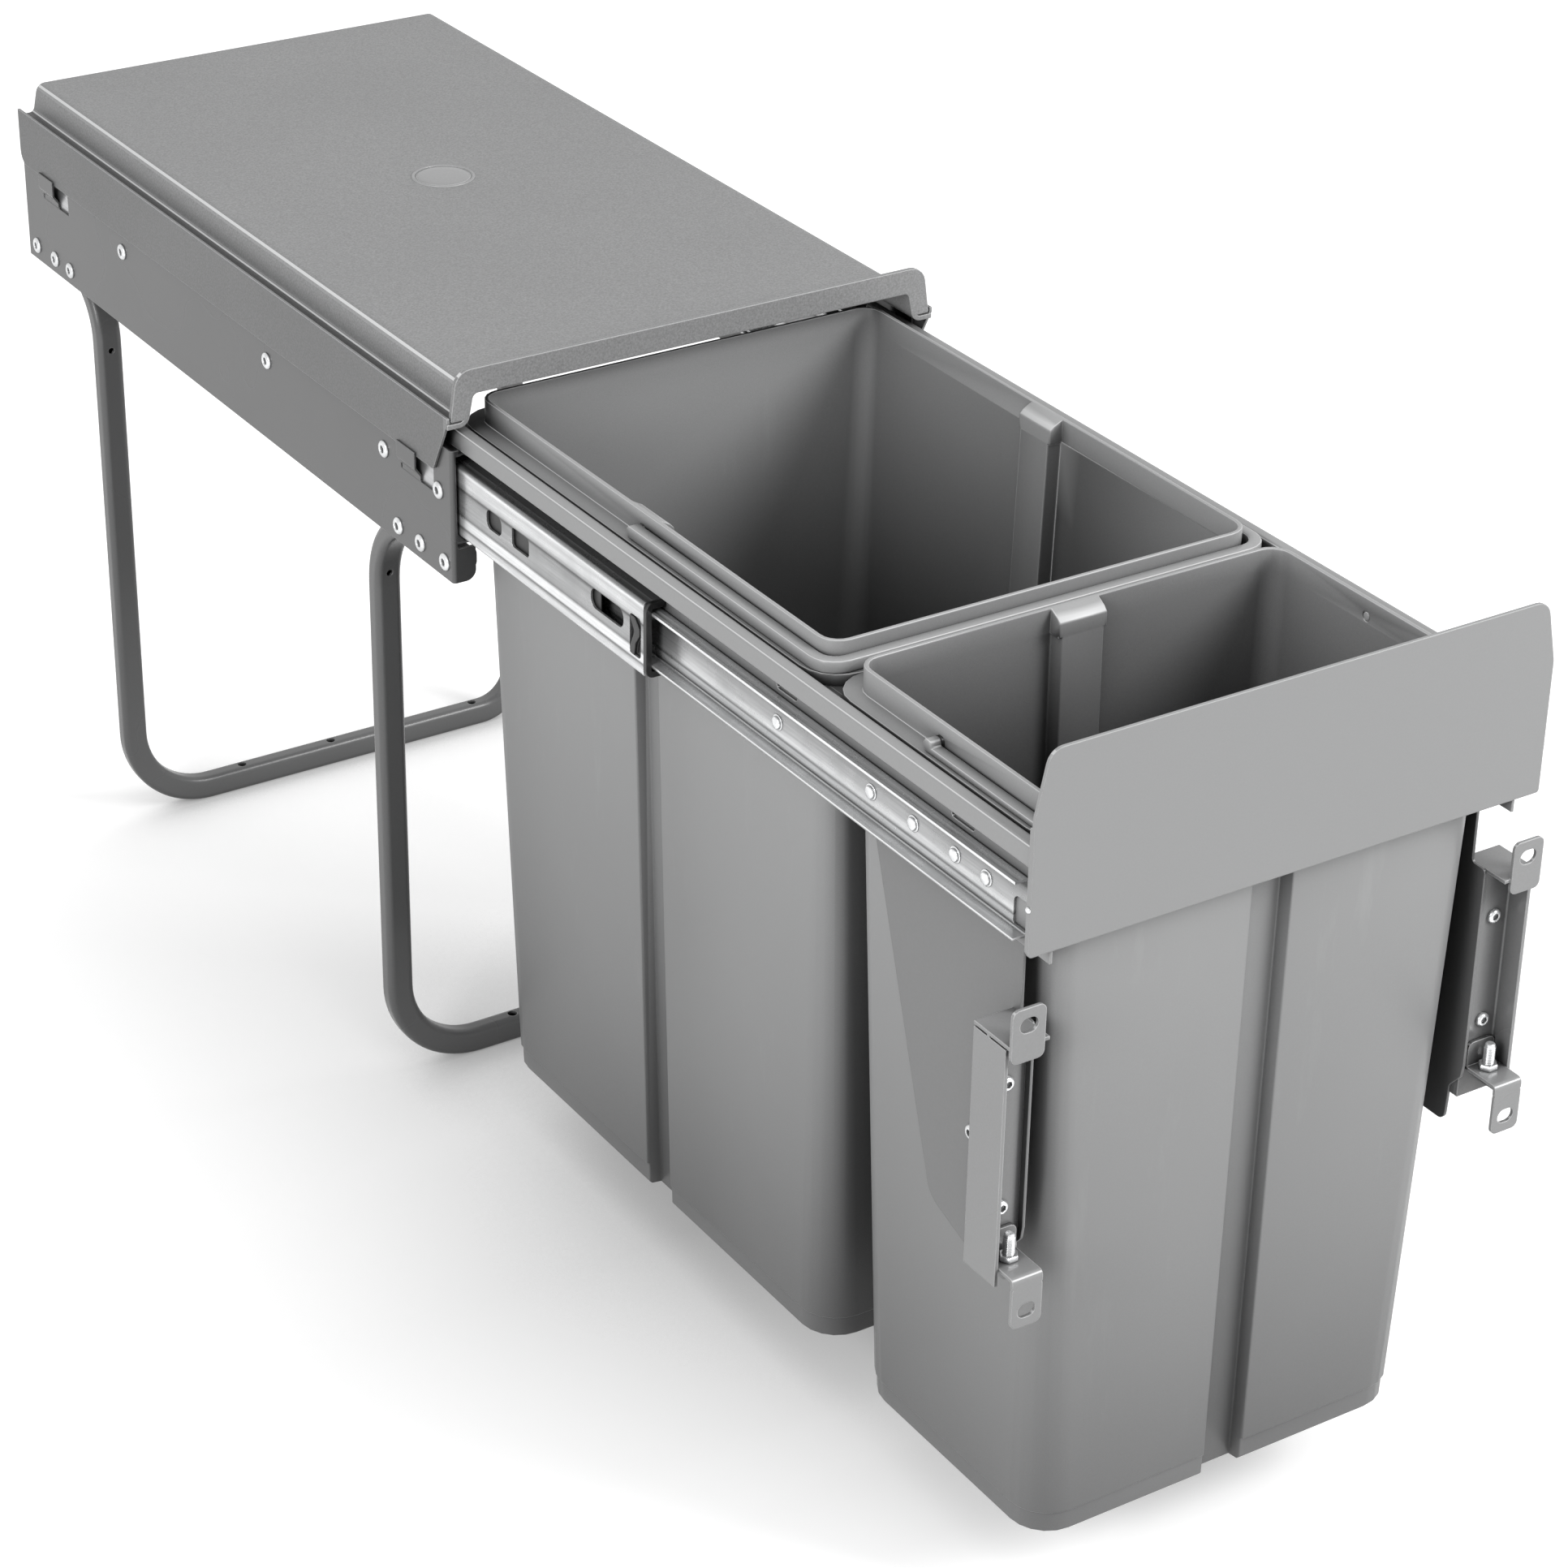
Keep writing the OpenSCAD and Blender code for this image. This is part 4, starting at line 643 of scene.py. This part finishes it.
def placeHeads(conf):
    tree, sockets = headRowTree()
    for node, form, height in conf["rows"]:
        hexRings = conf["sixSided"].get(form, (1, 0))
        template = bpy.data.objects.new(form, lathe(form, conf[form], conf["steps"], hexRings))
        points, aims = headPlaces(node, height * mm, conf["shortest"] * mm)
        mesh = bpy.data.meshes.new(node + "Places")
        mesh.from_pydata(points, [], [])
        kept = mesh.attributes.new("aim", "FLOAT_VECTOR", "POINT")
        for i, aim in enumerate(aims):
            kept.data[i].vector = aim
        piece = addObject(node + "_turned", mesh)
        rows = piece.modifiers.new("heads", "NODES")
        rows.node_group = tree
        rows[sockets["Head"]] = template
        rows[sockets["Finish"]] = rivetZinc
        rows[sockets["Seed"]] = conf["seed"]
        made = applied(piece)
        bpy.data.objects.remove(template)
        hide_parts(node)
        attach(piece, nodes[node]["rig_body"])
        print(node, len(points), "heads,", len(made.polygons), "faces")


placeHeads(heads)

badgeSeat = {
    "profile": [
        (0, 0.6), (5, 0.58), (9, 0.5), (12, 0.36), (13.2, 0.12), (13.9, 0.06), (14.3, 0.45),
        (14.9, 0.55), (15.4, 0.4), (15.7, 0.0), (0, 0.0)],
    "steps": 96,
}


def footOf(node):
    # The middle of a node's lower face
    low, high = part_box(node)
    return ((low[0] + high[0]) / 2, (low[1] + high[1]) / 2, low[2])


def turnBadgeSeat(conf):
    mesh = lathe("badgeSeat", conf["profile"], conf["steps"])
    mesh.transform(Matrix.Translation(footOf("lid_badge")))
    mesh.materials.append(badgePaint)
    seat = addObject("lid_badge_turned", mesh)
    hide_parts("lid_badge")
    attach(seat, nodes["lid_badge"]["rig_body"])


turnBadgeSeat(badgeSeat)
print("badge seat turned")

thread = {
    # mm
    "core": 2.1,
    "crest": 2.45,
    "pitch": 0.8,
    "steps": 24,
    "footChamfer": 0.4,
    "topChamfer": 0.5,
    # how far the ridge's feet lie inside the core, and the heights of its four corners
    "sunk": 0.02,
    "ridge": (0.0, 0.35, 0.45, 0.8),
    "nut": [(0, 4.5), (3.9, 4.5), (4.1, 4.8), (4.1, 6.7), (3.9, 7.1), (0, 7.1)],
    "nutSides": (1, 4),
}


def threadedScrew(node, conf):
    # A core, a helical ridge that tapers at both ends, and a six-sided nut
    low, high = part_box(node)
    length = (high[2] - low[2]) / mm
    core, pitch, steps = conf["core"], conf["pitch"], conf["steps"]
    foot, top = conf["footChamfer"], conf["topChamfer"]
    whole = bmesh.new()
    rod = lathe("rod", [(0, 0), (core - foot, 0), (core, foot), (core, length - top),
                        (core - top, length), (0, length)], steps)
    nut = lathe("nut", conf["nut"], steps, conf["nutSides"])
    for part in (rod, nut):
        whole.from_mesh(part)
        bpy.data.meshes.remove(part)
    start, end = pitch, length - 2 * pitch
    count = int((end - start) / pitch * steps)
    inside = core - conf["sunk"]
    rows = []
    for k in range(count + 1):
        angle = 2 * math.pi * k / steps
        z = start + pitch * k / steps
        taper = min(1.0, 2 * k / steps, 2 * (count - k) / steps)
        crest = core + (conf["crest"] - core) * taper
        row = []
        for radius, up in zip((inside, crest, crest, inside), conf["ridge"]):
            row.append(whole.verts.new((radius * mm * math.cos(angle), radius * mm * math.sin(angle),
                                        (z + up) * mm)))
        rows.append(row)
    for first, second in zip(rows, rows[1:]):
        for k in range(3):
            whole.faces.new((first[k], second[k], second[k + 1], first[k + 1]))
    mesh = bpy.data.meshes.new(node + "Thread")
    whole.to_mesh(mesh)
    whole.free()
    mesh.transform(Matrix.Translation(footOf(node)))
    smoothed(mesh, turnedSharp)
    mesh.materials.append(rivetZinc)
    piece = addObject(node + "_threaded", mesh)
    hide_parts(node)
    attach(piece, nodes[node]["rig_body"])


for node in bothSides("adjusting_screw"):
    threadedScrew(node, thread)
print("adjusting screws threaded")


# Stage, light and camera

studio = {
    "floorSide": 14.0,
    "floorLevel": 252,
    "floorBounce": 140,
    "floorGlow": 0.42,
    "floorRoughness": 0.9,
    "floorSpecular": 0.1,
    "shadowSamples": 12,
    "shadowReach": 0.5,
    "shadowDepth": 0.55,
    # openness between which the painted soft shadow fades out
    "shadowRange": (0.3, 0.95),
    # share of the painted shadow in front, and the depths between which it grows to the whole
    "shadowAhead": 0.35,
    "shadowFrom": (-0.42, -0.12),
    "worldLight": 0.6,
    # name, place, aim, size, watts
    "lamps": [
        ("left softbox", (-1.9, -0.8, 1.15), (-0.05, -0.1, 0.25), 1.1, 27),
        ("right softbox", (1.5, -2.1, 1.8), (0.0, -0.3, 0.2), 1.3, 64),
    ],
}


def seenDirectly(tree):
    # 1 for camera, glossy and transmission rays
    path = addNode(tree, "ShaderNodeLightPath").outputs
    seen = path["Is Camera Ray"]
    for ray in ("Is Glossy Ray", "Is Transmission Ray"):
        either = addNode(tree, "ShaderNodeMath", {0: seen, 1: path[ray]}, operation="MAXIMUM")
        seen = either.outputs["Value"]
    return seen


def buildFloor(conf):
    material, tree = newMaterial("studio floor")
    # Painted shadow: the floor's colour and glow darker where the lid and bins stand near, less so in
    # front. Other rays see a darker floor, which cuts its bounce light
    near = openness(tree, conf["shadowReach"], conf["shadowSamples"])
    place = addNode(tree, "ShaderNodeTexCoord").outputs["Object"]
    closed = multiply(tree, remap(tree, near, conf["shadowDepth"], 0.0, *conf["shadowRange"]),
                      remap(tree, axisOf(tree, place, "Y"), conf["shadowAhead"], 1.0,
                            *conf["shadowFrom"]))
    bright = addNode(tree, "ShaderNodeMath", {0: 1.0, 1: closed},
                     operation="SUBTRACT").outputs["Value"]
    glow = multiply(tree, multiply(tree, seenDirectly(tree), conf["floorGlow"]), bright)
    lit = darkened(tree, grey(conf["floorLevel"]), bright)
    color = mixColors(tree, seenDirectly(tree), grey(conf["floorBounce"]), lit)
    shader = addNode(tree, "ShaderNodeBsdfPrincipled", {
        "Base Color": color, "Roughness": conf["floorRoughness"],
        "Specular IOR Level": conf["floorSpecular"], "Emission Color": (1, 1, 1, 1),
        "Emission Strength": glow})
    out = addNode(tree, "ShaderNodeOutputMaterial")
    tree.links.new(shader.outputs["BSDF"], out.inputs["Surface"])
    half = conf["floorSide"] / 2
    corners = [(-half, -half, 0), (half, -half, 0), (half, half, 0), (-half, half, 0)]
    mesh = bpy.data.meshes.new("studioFloor")
    mesh.from_pydata(corners, [], [(0, 1, 2, 3)])
    mesh.materials.append(material)
    floor = addObject("studioFloor", mesh)


def buildWorld(conf):
    world = bpy.data.worlds.new("studio")
    bpy.context.scene.world = world
    world.use_nodes = True
    tree = world.node_tree
    tree.nodes.clear()
    strength = addNode(tree, "ShaderNodeMix", {2: conf["worldLight"], 3: 1.0}, data_type="FLOAT")
    tree.links.new(seenDirectly(tree), strength.inputs[0])
    back = addNode(tree, "ShaderNodeBackground", {
        "Color": (1, 1, 1, 1), "Strength": strength.outputs[0]})
    out = addNode(tree, "ShaderNodeOutputWorld")
    tree.links.new(back.outputs["Background"], out.inputs["Surface"])


def buildLamps(conf):
    for name, place, aim, size, watts in conf["lamps"]:
        data = bpy.data.lights.new(name, "AREA")
        data.shape = "DISK"
        data.size = size
        data.energy = watts
        lamp = addObject(name, data)
        lamp.location = place
        lamp.rotation_euler = (Vector(place) - Vector(aim)).to_track_quat("Z", "Y").to_euler()


# The camera of the photo, as its own lines give it
view = {
    "place": (-0.90992, -1.48377, 1.11490),
    "azimuth": -33.1433,
    "elevation": 28.6856,
    "roll": 1.0619,
    "focalPixels": 5116.4,
    "framePixels": 1932,
    "sensor": 36,
    "clip": (0.01, 60),
}


def buildCamera(conf):
    data = bpy.data.cameras.new("photoView")
    data.sensor_width = conf["sensor"]
    data.lens = conf["focalPixels"] / conf["framePixels"] * data.sensor_width
    data.clip_start, data.clip_end = conf["clip"]
    camera = addObject("photoView", data)
    turn = (Matrix.Rotation(math.radians(conf["azimuth"]), 4, "Z")
            @ Matrix.Rotation(math.radians(90 - conf["elevation"]), 4, "X")
            @ Matrix.Rotation(math.radians(conf["roll"]), 4, "Z"))
    camera.matrix_world = Matrix.Translation(conf["place"]) @ turn
    bpy.context.scene.camera = camera


buildFloor(studio)
buildWorld(studio)
buildLamps(studio)
buildCamera(view)
bpy.context.scene.view_settings.view_transform = "Standard"
print("stage, light and camera set")
